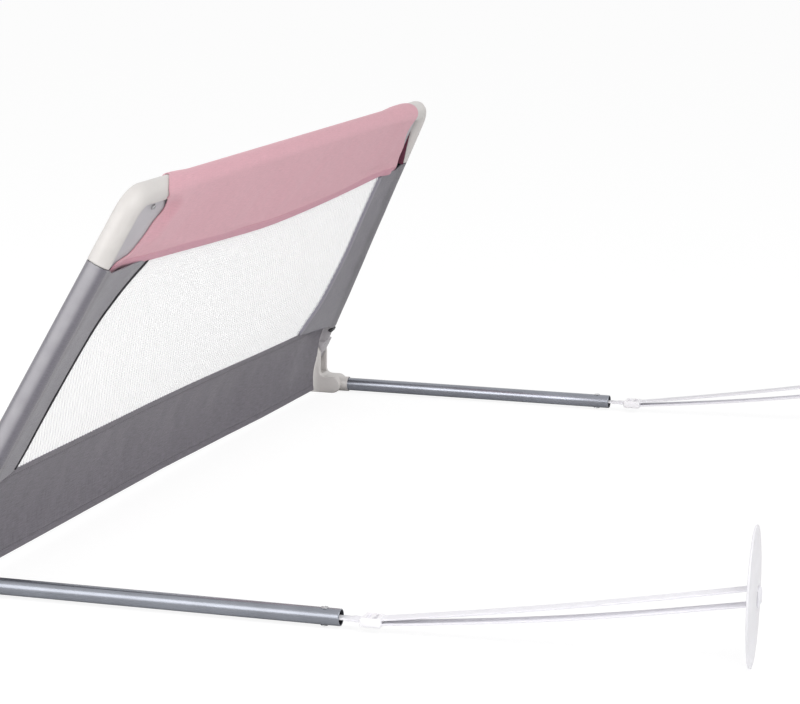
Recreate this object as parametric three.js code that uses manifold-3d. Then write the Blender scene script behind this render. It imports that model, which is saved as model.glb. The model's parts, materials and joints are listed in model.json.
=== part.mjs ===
// Folding bed guard rail, in millimetres, +Z up.
// X runs along the rail. Two arms that go under the mattress reach towards -Y.
// The origin is on the floor, at the centre of the whole rail's box.
// The far side is at +X and the near side at -X. Far pieces are modelled, and near ones are mirrored.
import * as THREE from 'three';
import { mergeVertices } from 'three/addons/utils/BufferGeometryUtils.js';
import Module from 'manifold-3d';

const wasm = await Module();
wasm.setup();

// Whole rail
const armSpacing = 1150; // between the axes of the two arms, and of the uprights at the hinges
const topSpacing = 990; // between the axes of the uprights at the top tube
const hingeHeight = 53; // hinge line above the floor
const panelHeight = 384; // hinge line to top tube axis, up the leaning panel
const leanDegrees = 26; // panel from upright, towards the arms
const armReach = 413; // hinge line to the arm's open end
const discReach = 815; // hinge line to the middle of the anchor disc

// Clearances
const gap = 0.3; // between pieces that touch or slide
const weld = 1e-4; // points closer than this are one
const overrun = 5; // how far a cut runs past what it cuts
const sink = 1; // how far joined forms run into each other

// Tubes
const frameTube = 19;
const frameWall = 1.2;
const armTube = 17;
const armWall = 1.2;
const armHeight = 11; // arm axis above the floor

// Base brackets
const bracketWidth = 34;
const bracketBevel = 1.2;
const baseHeight = 22;
const rearReach = 30;
const noseSetback = 30; // hinge line to the middle of the round nose
const neckHalf = 12;
const neckFillet = 8;
const rearCorner = 4;
const forkSlot = 20.6;
const forkFloor = 25;
const collarReach = 49;
const collarWall = 1.4;
const armSeat = 6; // how far the arm runs behind the hinge line
const forkWall = 3.5; // cross wall behind the leg, low in the fork

// Hinge pins
const pinRadius = 4;
const pinHeadRadius = 6.5;
const pinHead = 1.5;

// Screws and rivets
const armScrewRadius = 2;
const armScrewHeadRadius = 4;
const armScrewSetback = 10;
const armScrewTip = 8;
const footRecess = 0.4;
const rivetRadius = 2;
const rivetHeadRadius = 4;
const rivetHead = 1.5;
const rivetSetback = 17; // rivet to the arm's open end
const plateScrewRadius = 1.6;
const plateScrewHeadRadius = 3.4;
const plateScrewHead = 1.8;
const screwCrownShare = 0.8; // a screw head's flat top, of its radius

// Leg fittings
const eyeRadius = 10.5;
const bossStart = 24; // hinge to the boss's shoulder, up the upright
const bossEnd = 50;
const bossRadius = 10.4;
const bossChamfer = 1;
const spigotEnd = 95;
const spigotGap = 0.3;

// Release buttons
const buttonWidth = 15.6;
const buttonHeight = 6.5;
const buttonPlace = 43.5; // hinge to the button, up the upright
const buttonProud = 1.2;
const buttonTravel = 2.5;
const pocketFloor = 0.8; // from the upright's axis
const buttonEdge = 0.6;
const springRadius = 1.9;
const springWire = 0.3;
const springTurns = 3;
const springSolid = 2; // room for the spring when it is pressed flat
const wireSides = 5;

// Corner connectors
const connectorRadius = 12.2;
const elbowBend = 24;
const connectorRun = 100; // corner to the end on the top tube
const connectorDrop = 77; // corner to the end on the upright
const connectorChamfer = 1.2;
const socketDepth = 36;
const webThickness = 6;
const webBevel = 1.2;
const webReach = 110; // corner to the web curve's upper control point, along the rail
const webFall = 36; // the same, down the panel
const webTurn = 88; // corner to its lower control point, along the rail
const webDrop = 66; // the same, down the panel
const footWidth = 50; // web's foot, from the upright's axis
const plateScrewRun = 62;
const plateScrewFall = 18;

// Fabric
const coverThickness = 2.1;
const skirtThickness = 2.6;
const skirtDrop = 108; // top tube axis to the cover's hem at mid length, down the panel
const skirtEndDrop = 87;
const sleeveThickness = 1.6;
const flangeThickness = 2;
const flangeWidth = 62; // from the upright's axis
const slackWidth = 26; // added to the near flange, whose net is pulled less tight
const topFlareWidth = 58;
const topFlareHeight = 64;
const bottomFlareWidth = 66;
const bottomFlareHeight = 115;
const pipingRadius = 1.7;
const bandTop = 58; // hinge line to the band's upper edge, up the panel
const bandDrop = 47; // hinge line to the band's lower edge, straight down
const bandThickness = 2.4;
const bandBend = 12;
const netThickness = 0.9;
const netThread = 2.4;
const netBorder = 4;

// Straps and anchor discs
const strapWidth = 18;
const strapThickness = 2;
const strapTail = 13; // rivet to the strap's end inside the arm
const neckWidth = 13.4;
const adjusterStart = 21; // arm's end to the adjuster
const adjusterLength = 22;
const adjusterWidth = 25;
const adjusterThickness = 9;
const adjusterBevel = 1.6;
const adjusterSlot = 3.6;
const adjusterBar = 4;
const discRadius = 67;
const discRim = 2.4;
const discMiddle = 5.4;
const discEdge = 0.7;
const discTwistDegrees = 5;
const strandSpread = 15; // between the two strands at the disc
const slotHeight = 4;
const slotSide = 2.5; // slot end to the strap's edge
const hubRadius = 14;

// Counts
const roundSteps = 20;
const fineSteps = 48;
const arcSteps = 6;
const netColumns = 20;
const netRows = 8;
const edgeSteps = 12;

// Worked out from the sizes above
const lean = THREE.MathUtils.degToRad(leanDegrees);
const discTwist = THREE.MathUtils.degToRad(discTwistDegrees);
const halfBase = armSpacing / 2;
const halfTop = topSpacing / 2;
const splay = Math.atan2(halfBase - halfTop, panelHeight);
const uprightLength = Math.hypot(halfBase - halfTop, panelHeight);
const frameRadius = frameTube / 2;
const armRadius = armTube / 2;
const armScrewHead = armHeight - armRadius - footRecess - gap;
const sleeveOuter = frameRadius + gap + sleeveThickness;
const coverOuter = frameRadius + gap + coverThickness;
const bandHalf = uprightAxis(bandTop) - sleeveOuter / Math.cos(splay) - gap; // between the two sleeves
const hemMiddle = panelHeight - skirtDrop;
const hemEnd = panelHeight - skirtEndDrop;
const netInset = 2 * (pipingRadius + 2 * gap); // flange edge to the net
const discFlat = discRadius * Math.cos(Math.PI / fineSteps);

const materials = {
  steel: [0x8f949c, 0.35, 0.9],
  rivet: [0xb4b6ba, 0.3, 0.95],
  moulding: [0xbdb9b4, 0.5, 0],
  button: [0x2b2b30, 0.6, 0],
  cover: [0xd0a6b2, 0.9, 0],
  grey: [0x78757d, 0.95, 0],
  piping: [0x2f2d33, 0.9, 0],
  net: [0xf4f3f6, 0.9, 0],
  webbing: [0xdedde4, 0.9, 0],
  plastic: [0xdedde2, 0.45, 0],
};

function material(key) {
  const [color, roughness, metalness] = materials[key];
  return new THREE.MeshStandardMaterial({ color, roughness, metalness });
}

// Turns a closed geometry into one with shared vertices and its faces pointing out.
function outward(geometry) {
  const bare = geometry.clone();
  bare.deleteAttribute('normal');
  bare.deleteAttribute('uv');
  const merged = mergeVertices(bare, weld);
  const place = merged.getAttribute('position');
  const index = Array.from(merged.index.array);
  const corner = [new THREE.Vector3(), new THREE.Vector3(), new THREE.Vector3()];
  const kept = [];
  let volume = 0;
  for (let i = 0; i < index.length; i += 3) {
    const [a, b, c] = index.slice(i, i + 3);
    if (a === b || b === c || c === a) continue;
    [a, b, c].forEach((at, k) => corner[k].fromBufferAttribute(place, at));
    volume += corner[0].dot(corner[1].clone().cross(corner[2]));
    kept.push(a, b, c);
  }
  if (volume < 0) {
    for (let i = 0; i < kept.length; i += 3) [kept[i + 1], kept[i + 2]] = [kept[i + 2], kept[i + 1]];
  }
  merged.setIndex(kept);
  return merged;
}

function solid(geometry) {
  const closed = outward(geometry);
  return new wasm.Manifold(new wasm.Mesh({
    numProp: 3,
    vertProperties: new Float32Array(closed.getAttribute('position').array),
    triVerts: new Uint32Array(closed.index.array),
  }));
}

function geometryOf(body) {
  const mesh = body.getMesh();
  const geometry = new THREE.BufferGeometry();
  geometry.setAttribute('position', new THREE.BufferAttribute(mesh.vertProperties, 3));
  geometry.setIndex(new THREE.BufferAttribute(mesh.triVerts, 1));
  return geometry;
}

function join(...geometries) {
  return geometryOf(geometries.map(solid).reduce((a, b) => a.add(b)));
}

function cut(base, ...tools) {
  return geometryOf(tools.map(solid).reduce((a, b) => a.subtract(b), solid(base)));
}

function mirrored(geometry) {
  return outward(outward(geometry).scale(-1, 1, 1));
}

// A closed skin over rings of points, with a fan at each end.
function loft(rings) {
  const sides = rings[0].length;
  const points = rings.flat();
  const faces = [];
  for (let r = 0; r + 1 < rings.length; r += 1) {
    for (let k = 0; k < sides; k += 1) {
      const next = (k + 1) % sides;
      const [a, b] = [r * sides + k, r * sides + next];
      faces.push(a, b, a + sides, b, b + sides, a + sides);
    }
  }
  [0, rings.length - 1].forEach((r) => {
    const middle = new THREE.Vector3();
    rings[r].forEach((p) => middle.add(p));
    points.push(middle.divideScalar(sides));
    for (let k = 0; k < sides; k += 1) {
      const pair = [r * sides + k, r * sides + ((k + 1) % sides)];
      faces.push(points.length - 1, ...(r === 0 ? pair.reverse() : pair));
    }
  });
  const geometry = new THREE.BufferGeometry().setFromPoints(points);
  geometry.setIndex(faces);
  return geometry;
}

// A round bar along a list of points in a plane whose normal is side. radii has one radius for each point.
function roundBar(points, radii, side, sides) {
  const rings = points.map((p, i) => {
    const before = points[Math.max(i - 1, 0)];
    const after = points[Math.min(i + 1, points.length - 1)];
    const along = after.clone().sub(before).normalize();
    const across = side.clone().cross(along).normalize();
    return Array.from({ length: sides }, (_, k) => {
      const turn = (2 * Math.PI * k) / sides;
      return p.clone()
        .addScaledVector(across, radii[i] * Math.cos(turn))
        .addScaledVector(side, radii[i] * Math.sin(turn));
    });
  });
  return loft(rings);
}

// A shape extruded along Z about z = 0, with its edges eased by bevel.
function plate(shape, thickness, bevel = 0) {
  const geometry = new THREE.ExtrudeGeometry(shape, {
    depth: thickness - 2 * bevel,
    bevelEnabled: bevel > 0,
    bevelThickness: bevel,
    bevelSize: bevel,
    bevelOffset: -bevel,
    bevelSegments: 1,
    curveSegments: arcSteps,
  });
  return geometry.translate(0, 0, bevel - thickness / 2);
}

// A revolved solid about Y. The profile is a list of [radius, height] from axis to axis.
function turned(profile, steps = roundSteps) {
  return new THREE.LatheGeometry(profile.map(([r, y]) => new THREE.Vector2(r, y)), steps);
}

function rod(radius, low, high, steps = roundSteps) {
  return turned([[0, low], [radius, low], [radius, high], [0, high]], steps);
}

function pipe(outer, inner, low, high) {
  return turned([[inner, low], [outer, low], [outer, high], [inner, high], [inner, low]]);
}

function block(width, length, height) {
  return new THREE.BoxGeometry(width, length, height);
}

// A slot outline, width along x and height along y, with round ends.
function slotShape(width, height) {
  const r = Math.min(width, height) / 2;
  const [dx, dy] = [width / 2 - r, height / 2 - r];
  const shape = new THREE.Shape();
  shape.absarc(dx, dy, r, 0, Math.PI / 2, false);
  shape.absarc(-dx, dy, r, Math.PI / 2, Math.PI, false);
  shape.absarc(-dx, -dy, r, Math.PI, 1.5 * Math.PI, false);
  shape.absarc(dx, -dy, r, 1.5 * Math.PI, 2 * Math.PI, false);
  return shape;
}

// Base bracket: y is negative towards the arm, z is up from the floor, x is 0 on the arm's axis.
function bracketOutline() {
  const nose = baseHeight / 2;
  const shape = new THREE.Shape();
  shape.moveTo(-rearReach + rearCorner, 0);
  shape.lineTo(noseSetback, 0);
  shape.absarc(noseSetback, nose, nose, -Math.PI / 2, Math.PI / 2, false);
  const fillet = baseHeight + neckFillet;
  shape.absarc(neckHalf + neckFillet, fillet, neckFillet, -Math.PI / 2, -Math.PI, true);
  shape.absarc(0, hingeHeight, neckHalf, 0, Math.PI, false);
  shape.absarc(-neckHalf - neckFillet, fillet, neckFillet, 0, -Math.PI / 2, true);
  shape.absarc(-rearReach + rearCorner, baseHeight - rearCorner, rearCorner, Math.PI / 2, Math.PI, false);
  shape.absarc(-rearReach + rearCorner, rearCorner, rearCorner, Math.PI, 1.5 * Math.PI, false);
  return shape;
}

// Turns a plate drawn with x towards the arm and y up into one that is thick along X.
function sideways(geometry) {
  return geometry.rotateX(Math.PI / 2).rotateZ(-Math.PI / 2);
}

// Moves a bar made along Y onto the arm's axis, with its own +Y towards the arm's end.
function onArm(geometry) {
  return geometry.rotateZ(Math.PI).translate(0, 0, armHeight);
}

function upward(geometry, reach) {
  return geometry.rotateX(Math.PI / 2).translate(0, -reach, 0);
}

function baseBracket() {
  const body = sideways(plate(bracketOutline(), bracketWidth, bracketBevel));
  const collarRadius = armRadius + collarWall;
  const collar = onArm(rod(collarRadius, noseSetback, collarReach));
  const bore = onArm(rod(armRadius + gap, -armSeat - gap, collarReach + overrun));
  const forkHeight = hingeHeight + neckHalf + overrun - forkFloor;
  const fork = block(forkSlot, 2 * (neckHalf + neckFillet), forkHeight)
    .translate(0, 0, forkFloor + forkHeight / 2);
  const pinHole = rod(pinRadius + gap, -bracketWidth, bracketWidth)
    .rotateZ(Math.PI / 2)
    .translate(0, 0, hingeHeight);
  const screwHole = upward(rod(armScrewRadius + gap, -overrun, armHeight), armScrewSetback);
  const screwSeat = upward(
    rod(armScrewHeadRadius + gap, -overrun, footRecess + armScrewHead + gap),
    armScrewSetback,
  );
  const wallHeight = hingeHeight - eyeRadius - 2 * gap - forkFloor;
  const wall = block(forkSlot + 2 * sink, forkWall, wallHeight + sink)
    .translate(0, neckHalf - bracketBevel - forkWall / 2, forkFloor + (wallHeight - sink) / 2);
  return join(cut(join(body, collar), bore, fork, pinHole, screwHole, screwSeat), wall);
}

function hingePin() {
  const half = bracketWidth / 2 + gap;
  return turned([
    [0, -half - pinHead],
    [pinHeadRadius - pinHead / 2, -half - pinHead],
    [pinHeadRadius, -half],
    [pinRadius, -half],
    [pinRadius, half],
    [pinHeadRadius, half],
    [pinHeadRadius - pinHead / 2, half + pinHead],
    [0, half + pinHead],
  ]).rotateZ(Math.PI / 2).translate(0, 0, hingeHeight);
}

function armTubing() {
  const tube = onArm(pipe(armRadius, armRadius - armWall, -armSeat, armReach));
  const screwHole = upward(rod(armScrewRadius + gap, 0, armHeight), armScrewSetback);
  const rivetHole = upward(rod(rivetRadius + gap, 0, armTube + armHeight), armReach - rivetSetback);
  return cut(tube, screwHole, rivetHole);
}

function armScrew() {
  return upward(turned([
    [0, footRecess],
    [armScrewHeadRadius, footRecess],
    [armScrewHeadRadius, footRecess + armScrewHead],
    [armScrewRadius, footRecess + armScrewHead],
    [armScrewRadius, armScrewTip - armScrewRadius],
    [0, armScrewTip],
  ], arcSteps * 2), armScrewSetback);
}

function strapRivet() {
  const half = armRadius + gap;
  return upward(turned([
    [0, -half - rivetHead],
    [rivetHeadRadius / 2, -half - rivetHead],
    [rivetHeadRadius, -half - rivetHead / 3],
    [rivetHeadRadius, -half],
    [rivetRadius, -half],
    [rivetRadius, half],
    [rivetHeadRadius, half],
    [rivetHeadRadius, half + rivetHead / 3],
    [rivetHeadRadius / 2, half + rivetHead],
    [0, half + rivetHead],
  ], arcSteps * 2), armReach - rivetSetback).translate(0, 0, armHeight);
}

// Hinge line to the adjuster's outer end.
const adjusterFront = armReach + adjusterStart + adjusterLength;

// A flat strap's cross-section at a reach and height.
function strapRing(reach, height, width) {
  const [w, t] = [width / 2, strapThickness / 2];
  return [[-w, -t], [w, -t], [w, t], [-w, t]].map(([x, z]) => new THREE.Vector3(x, -reach, height + z));
}

function strapNeck() {
  const rivet = armReach - rivetSetback;
  const end = armReach + adjusterStart - gap;
  const blank = loft([
    strapRing(rivet - strapTail, armHeight, neckWidth),
    strapRing(armReach, armHeight, neckWidth),
    strapRing(armReach + adjusterStart / 2, armHeight, (neckWidth + strapWidth) / 2),
    strapRing(end, armHeight, strapWidth),
  ]);
  return cut(blank, upward(rod(rivetRadius + gap, 0, armTube + armHeight), rivet));
}

function adjuster() {
  const [l, w] = [adjusterLength / 2, adjusterWidth / 2];
  const corner = adjusterBevel * 2;
  const shape = new THREE.Shape();
  shape.absarc(w - corner, l - corner, corner, 0, Math.PI / 2, false);
  shape.absarc(-w + corner, l - corner, corner, Math.PI / 2, Math.PI, false);
  shape.absarc(-w + corner, -l + corner, corner, Math.PI, 1.5 * Math.PI, false);
  shape.absarc(w - corner, -l + corner, corner, 1.5 * Math.PI, 2 * Math.PI, false);
  const frame = plate(shape, adjusterThickness, adjusterBevel);
  const slots = [-1, 1].map((way) => block(strapWidth + 2 * gap, adjusterSlot, 2 * adjusterThickness)
    .translate(0, (way * (adjusterBar + adjusterSlot)) / 2, 0));
  return cut(frame, ...slots).translate(0, adjusterLength / 2 - adjusterFront, armHeight);
}

// Two strands from the adjuster that run through the disc's slots and round its bar, as one loop.
function strapLoop() {
  const wrap = discMiddle / 2 + gap + (strapWidth / 2) * Math.tan(discTwist);
  const [start, top] = [adjusterFront + gap, discReach + wrap + strapThickness];
  const half = strandSpread / 2;
  const slack = strapThickness / 2;
  const outer = new THREE.Shape();
  outer.moveTo(start, armHeight - strapThickness);
  outer.lineTo(discReach - discMiddle, discFlat - half - slack);
  outer.lineTo(top, discFlat - half - slack);
  outer.lineTo(top, discFlat + half + slack);
  outer.lineTo(discReach - discMiddle, discFlat + half + slack);
  outer.lineTo(start, armHeight + strapThickness);
  const inner = new THREE.Path();
  const open = start + (strapThickness * (discReach - start)) / strandSpread;
  const rise = ((discFlat - armHeight) * (open - start)) / (discReach - start);
  inner.moveTo(open, armHeight + rise);
  inner.lineTo(discReach - discMiddle, discFlat + half - slack);
  inner.lineTo(top - strapThickness, discFlat + half - slack);
  inner.lineTo(top - strapThickness, discFlat - half + slack);
  inner.lineTo(discReach - discMiddle, discFlat - half + slack);
  outer.holes.push(inner);
  return sideways(plate(outer, strapWidth));
}

// Anchor disc: a shallow dome on its outer face, thin at the rim, with two slots and the bar between them.
function anchorDisc() {
  const [rim, middle] = [discRim / 2, discMiddle / 2];
  const disc = turned([
    [0, -middle],
    [hubRadius, -middle],
    [discRadius / 2, -middle],
    [discRadius - discEdge, -middle],
    [discRadius, -middle + discEdge],
    [discRadius, -middle + discRim - discEdge],
    [discRadius - discEdge, -middle + discRim],
    [(discRadius + hubRadius) / 2, (rim + middle) / 2],
    [hubRadius, middle],
    [0, middle - discEdge],
  ], fineSteps);
  const slots = [-1, 1].map((way) => block(strapWidth + 2 * slotSide, 4 * discMiddle, slotHeight)
    .translate(0, 0, (way * strandSpread) / 2));
  const standing = disc.rotateY(Math.PI / fineSteps).rotateZ(Math.PI);
  return cut(standing, ...slots)
    .rotateZ(-discTwist)
    .translate(0, -discReach, discFlat);
}

// Panel pieces: x along the rail, y up the panel from the hinge line, z out of its inner face.
function uprightAxis(v) {
  return halfBase - (v * (halfBase - halfTop)) / panelHeight;
}

// Moves a piece made about the upright's own axis onto it.
function onUpright(geometry) {
  return geometry.rotateZ(splay).translate(halfBase, 0, 0);
}

function hemHeight(u) {
  const share = Math.min(Math.abs(u) / (uprightAxis(hemEnd) - footWidth), 1);
  return hemMiddle + (hemEnd - hemMiddle) * share * share;
}

function topTubing() {
  const half = halfTop - connectorRun + socketDepth;
  return pipe(frameRadius, frameRadius - frameWall, -half, half)
    .rotateZ(Math.PI / 2)
    .translate(0, panelHeight, 0);
}

function uprightTubing() {
  const high = uprightLength - connectorDrop + socketDepth;
  return onUpright(pipe(frameRadius, frameRadius - frameWall, bossEnd + gap, high));
}

// The elbow's centre line, from the end on the upright round to the end on the top tube.
function elbowPoints() {
  const corner = new THREE.Vector3(halfTop, panelHeight, 0);
  const down = new THREE.Vector3(Math.sin(splay), -Math.cos(splay), 0);
  const along = new THREE.Vector3(-1, 0, 0);
  const turn = Math.PI - down.angleTo(along);
  const tangent = elbowBend * Math.tan(turn / 2);
  const middle = down.clone().add(along).normalize();
  const centre = corner.clone().addScaledVector(middle, elbowBend / Math.cos(turn / 2));
  const from = corner.clone().addScaledVector(down, tangent).sub(centre);
  const points = [
    corner.clone().addScaledVector(down, connectorDrop),
    corner.clone().addScaledVector(down, connectorDrop - connectorChamfer),
  ];
  for (let k = 0; k <= arcSteps; k += 1) {
    const step = from.clone().applyAxisAngle(new THREE.Vector3(0, 0, 1), (turn * k) / arcSteps);
    points.push(centre.clone().add(step));
  }
  points.push(corner.clone().addScaledVector(along, connectorRun - connectorChamfer));
  points.push(corner.clone().addScaledVector(along, connectorRun));
  return points;
}

// The web's free edge, from the top tube down to the foot on the upright, moved out of the web by offset.
function webEdge(offset) {
  const curve = new THREE.CubicBezierCurve(
    new THREE.Vector2(halfTop - connectorRun, panelHeight - coverOuter - gap),
    new THREE.Vector2(halfTop - webReach, panelHeight - webFall),
    new THREE.Vector2(halfTop - webTurn, panelHeight - webDrop),
    new THREE.Vector2(uprightAxis(hemEnd) - footWidth, hemEnd + gap),
  );
  return Array.from({ length: edgeSteps + 1 }, (_, k) => {
    const along = curve.getTangent(k / edgeSteps);
    return curve.getPoint(k / edgeSteps).add(new THREE.Vector2(along.y, -along.x).multiplyScalar(offset));
  });
}

function cornerConnector() {
  const points = elbowPoints();
  const radii = points.map((_, i) => connectorRadius
    - (i === 0 || i === points.length - 1 ? connectorChamfer : 0));
  const elbow = roundBar(points, radii, new THREE.Vector3(0, 0, 1), roundSteps);
  const shape = new THREE.Shape();
  shape.moveTo(halfTop - frameRadius, panelHeight);
  shape.lineTo(halfTop - connectorRun, panelHeight);
  webEdge(0).forEach((p) => shape.lineTo(p.x, p.y));
  shape.lineTo(points[1].x, points[1].y);
  const web = plate(shape, webThickness, webBevel);
  const bore = frameRadius + gap;
  const topBore = rod(bore, -overrun, socketDepth + gap)
    .rotateZ(-Math.PI / 2)
    .translate(halfTop - connectorRun, panelHeight, 0);
  const low = uprightLength - connectorDrop;
  const legBore = onUpright(rod(bore, low - overrun, low + socketDepth + gap));
  const screwHole = rod(plateScrewRadius + gap, -webThickness, webThickness, arcSteps * 2)
    .rotateX(Math.PI / 2)
    .translate(halfTop - plateScrewRun, panelHeight - plateScrewFall, 0);
  return cut(join(elbow, web), topBore, legBore, screwHole);
}

function connectorScrew() {
  const face = webThickness / 2 + gap;
  return turned([
    [0, -webThickness / 2],
    [plateScrewRadius, -webThickness / 2],
    [plateScrewRadius, face],
    [plateScrewHeadRadius, face],
    [plateScrewHeadRadius * screwCrownShare, face + plateScrewHead],
    [0, face + plateScrewHead],
  ], arcSteps * 2).rotateX(Math.PI / 2)
    .translate(halfTop - plateScrewRun, panelHeight - plateScrewFall, 0);
}

function skirtShape() {
  const right = webEdge(gap).reverse();
  right.pop();
  const shape = new THREE.Shape();
  const hem = [];
  for (let k = -edgeSteps; k <= edgeSteps; k += 1) {
    const u = (right[0].x * k) / edgeSteps;
    hem.push([u, hemHeight(u)]);
  }
  hem.forEach(([u, v], i) => (i === 0 ? shape.moveTo(u, v) : shape.lineTo(u, v)));
  right.forEach((p) => shape.lineTo(p.x, p.y));
  const end = halfTop - connectorRun - gap;
  shape.lineTo(end, panelHeight - frameRadius);
  shape.lineTo(-end, panelHeight - frameRadius);
  right.reverse().forEach((p) => shape.lineTo(-p.x, p.y));
  return shape;
}

function topCover() {
  const half = halfTop - connectorRun - gap;
  const round = rod(coverOuter, -half, half).rotateZ(Math.PI / 2).translate(0, panelHeight, 0);
  const hollow = rod(frameRadius + gap, -halfTop, halfTop).rotateZ(Math.PI / 2).translate(0, panelHeight, 0);
  return cut(join(round, plate(skirtShape(), skirtThickness)), hollow);
}

// Where the lines of the net's threads run, as shares of its height or width. A gap lies between two lines.
function netLines(count, size) {
  const lines = [0];
  for (let k = 0; k < count; k += 1) {
    lines.push(k / count + (k === 0 ? netBorder : netThread / 2) / size);
    lines.push((k + 1) / count - (k === count - 1 ? netBorder : netThread / 2) / size);
  }
  return [...lines, 1];
}

const rowLines = netLines(netRows, hemMiddle - bandTop);

// The hem's height at the net's corner, where the flange and its piping stop. The corner lies no nearer to the
// upright than this place, so the net stays clear of the hem.
function flangeTop(flare) {
  const slope = Math.tan(splay) + (2 * flare.top * topFlareWidth) / topFlareHeight;
  const edge = uprightAxis(hemEnd) - flare.width - flare.top * topFlareWidth;
  return hemHeight(edge - netInset * Math.hypot(1, slope));
}

// A point of the flange's free edge on one side, at a share of the way from the band up to the hem.
// It is moved inward by offset. flare has the flange's width and how far its edge leans in at both ends,
// as shares of the flares.
function flangePoint(flare, offset, share) {
  const high = flangeTop(flare);
  const v = bandTop + gap + (high - 2 * gap - bandTop) * share;
  const rise = Math.max(0, 1 - (high - v) / topFlareHeight);
  const fall = Math.max(0, 1 - (v - bandTop) / bottomFlareHeight);
  const flared = flare.top * topFlareWidth * rise * rise + flare.bottom * bottomFlareWidth * fall * fall;
  const slope = Math.tan(splay) + (2 * flare.top * topFlareWidth * rise) / topFlareHeight
    - (2 * flare.bottom * bottomFlareWidth * fall) / bottomFlareHeight;
  return new THREE.Vector2(uprightAxis(v) - flare.width - flared - offset * Math.hypot(1, slope), v);
}

function flangeEdge(flare) {
  return rowLines.map((share) => flangePoint(flare, 0, share));
}

// The net's two top corners sit where the cover's hem crosses the flanges, so each side has its own flare.
const flares = {
  far: { width: flangeWidth, top: 0, bottom: 1 },
  near: { width: flangeWidth + slackWidth, top: 1, bottom: 0 },
};

function sideSleeve(flare) {
  const [low, high] = [bossEnd + gap, uprightLength - connectorDrop - gap];
  const round = onUpright(rod(sleeveOuter, low, high));
  const edge = flangeEdge(flare);
  const shape = new THREE.Shape();
  shape.moveTo(uprightAxis(bandTop), bandTop + gap);
  edge.forEach((p) => shape.lineTo(p.x, p.y));
  const last = edge[edge.length - 1].x;
  for (let k = 1; k <= edgeSteps; k += 1) {
    const u = last + ((uprightAxis(hemEnd) - last) * k) / edgeSteps;
    shape.lineTo(u, hemHeight(u) - gap);
  }
  const hollow = onUpright(rod(frameRadius + gap, 0, uprightLength));
  return cut(join(round, plate(shape, flangeThickness)), hollow);
}

function sleevePiping(flare) {
  const end = (2 * pipingRadius) / (hemMiddle - bandTop);
  const points = rowLines.map((share) => {
    const p = flangePoint(flare, pipingRadius + gap, Math.min(Math.max(share, end), 1 - end));
    return new THREE.Vector3(p.x, p.y, 0);
  });
  return roundBar(points, points.map(() => pipingRadius), new THREE.Vector3(0, 0, 1), arcSteps);
}

// A flat grid of points with some of its cells open. at(i, j) gives a point and open(i, j) says which cells.
function openGrid(columns, rows, thickness, at, open) {
  const wide = columns + 1;
  const layer = wide * (rows + 1);
  const points = [-1, 1].flatMap((way) => Array.from({ length: layer }, (_, n) => {
    const p = at(n % wide, Math.floor(n / wide));
    return new THREE.Vector3(p.x, p.y, (way * thickness) / 2);
  }));
  const faces = [];
  const filled = (i, j) => i >= 0 && j >= 0 && i < columns && j < rows && !open(i, j);
  const quad = (a, b, c, d) => faces.push(a, b, c, a, c, d);
  for (let j = 0; j < rows; j += 1) {
    for (let i = 0; i < columns; i += 1) {
      if (!filled(i, j)) continue;
      const [a, b] = [j * wide + i, j * wide + i + 1];
      const [c, d] = [b + wide, a + wide];
      quad(a + layer, b + layer, c + layer, d + layer);
      quad(d, c, b, a);
      if (!filled(i, j - 1)) quad(a, b, b + layer, a + layer);
      if (!filled(i + 1, j)) quad(b, c, c + layer, b + layer);
      if (!filled(i, j + 1)) quad(c, d, d + layer, c + layer);
      if (!filled(i - 1, j)) quad(d, a, a + layer, d + layer);
    }
  }
  const geometry = new THREE.BufferGeometry().setFromPoints(points);
  geometry.setIndex(faces);
  return geometry;
}

// The net's outline runs just inside the two pipings, the band and the hem.
function meshWindow() {
  const columnLines = netLines(netColumns, 2 * (uprightAxis(hemMiddle) - flangeWidth));
  const left = rowLines.map((share) => flangePoint(flares.near, netInset, share));
  const right = rowLines.map((share) => flangePoint(flares.far, netInset, share));
  left.forEach((p) => p.setX(-p.x));
  const across = (share) => left[left.length - 1].clone().lerp(right[right.length - 1], share);
  const bulge = (share) => {
    const ends = hemHeight(across(0).x) + (hemHeight(across(1).x) - hemHeight(across(0).x)) * share;
    return hemHeight(across(share).x) - ends;
  };
  const at = (i, j) => {
    const p = left[j].clone().lerp(right[j], columnLines[i]);
    return p.setY(p.y + rowLines[j] * bulge(columnLines[i]));
  };
  const open = (i, j) => i % 2 === 1 && j % 2 === 1;
  return openGrid(2 * netColumns + 1, 2 * netRows + 1, netThickness, at, open);
}

// A strip drawn as its centre line in (across, up) and given a thickness.
function ribbon(points, thickness) {
  const sideOf = (way) => points.map((p, i) => {
    const before = points[Math.max(i - 1, 0)];
    const after = points[Math.min(i + 1, points.length - 1)];
    const along = after.clone().sub(before).normalize();
    return p.clone().add(new THREE.Vector2(-along.y, along.x).multiplyScalar((way * thickness) / 2));
  });
  return new THREE.Shape([...sideOf(1), ...sideOf(-1).reverse()]);
}

// Lower band: up the panel's slope to its top edge, and straight down from the hinge line.
function lowerBand() {
  const slope = new THREE.Vector2(0, bandTop - gap);
  const drop = new THREE.Vector2(Math.sin(lean), -Math.cos(lean));
  const bend = new THREE.QuadraticBezierCurve(
    new THREE.Vector2(0, bandBend),
    new THREE.Vector2(0, 0),
    drop.clone().multiplyScalar(bandBend),
  );
  const line = [slope, ...bend.getPoints(arcSteps), drop.clone().multiplyScalar(bandDrop)];
  return plate(ribbon(line, bandThickness), 2 * bandHalf).rotateY(-Math.PI / 2);
}

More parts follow.
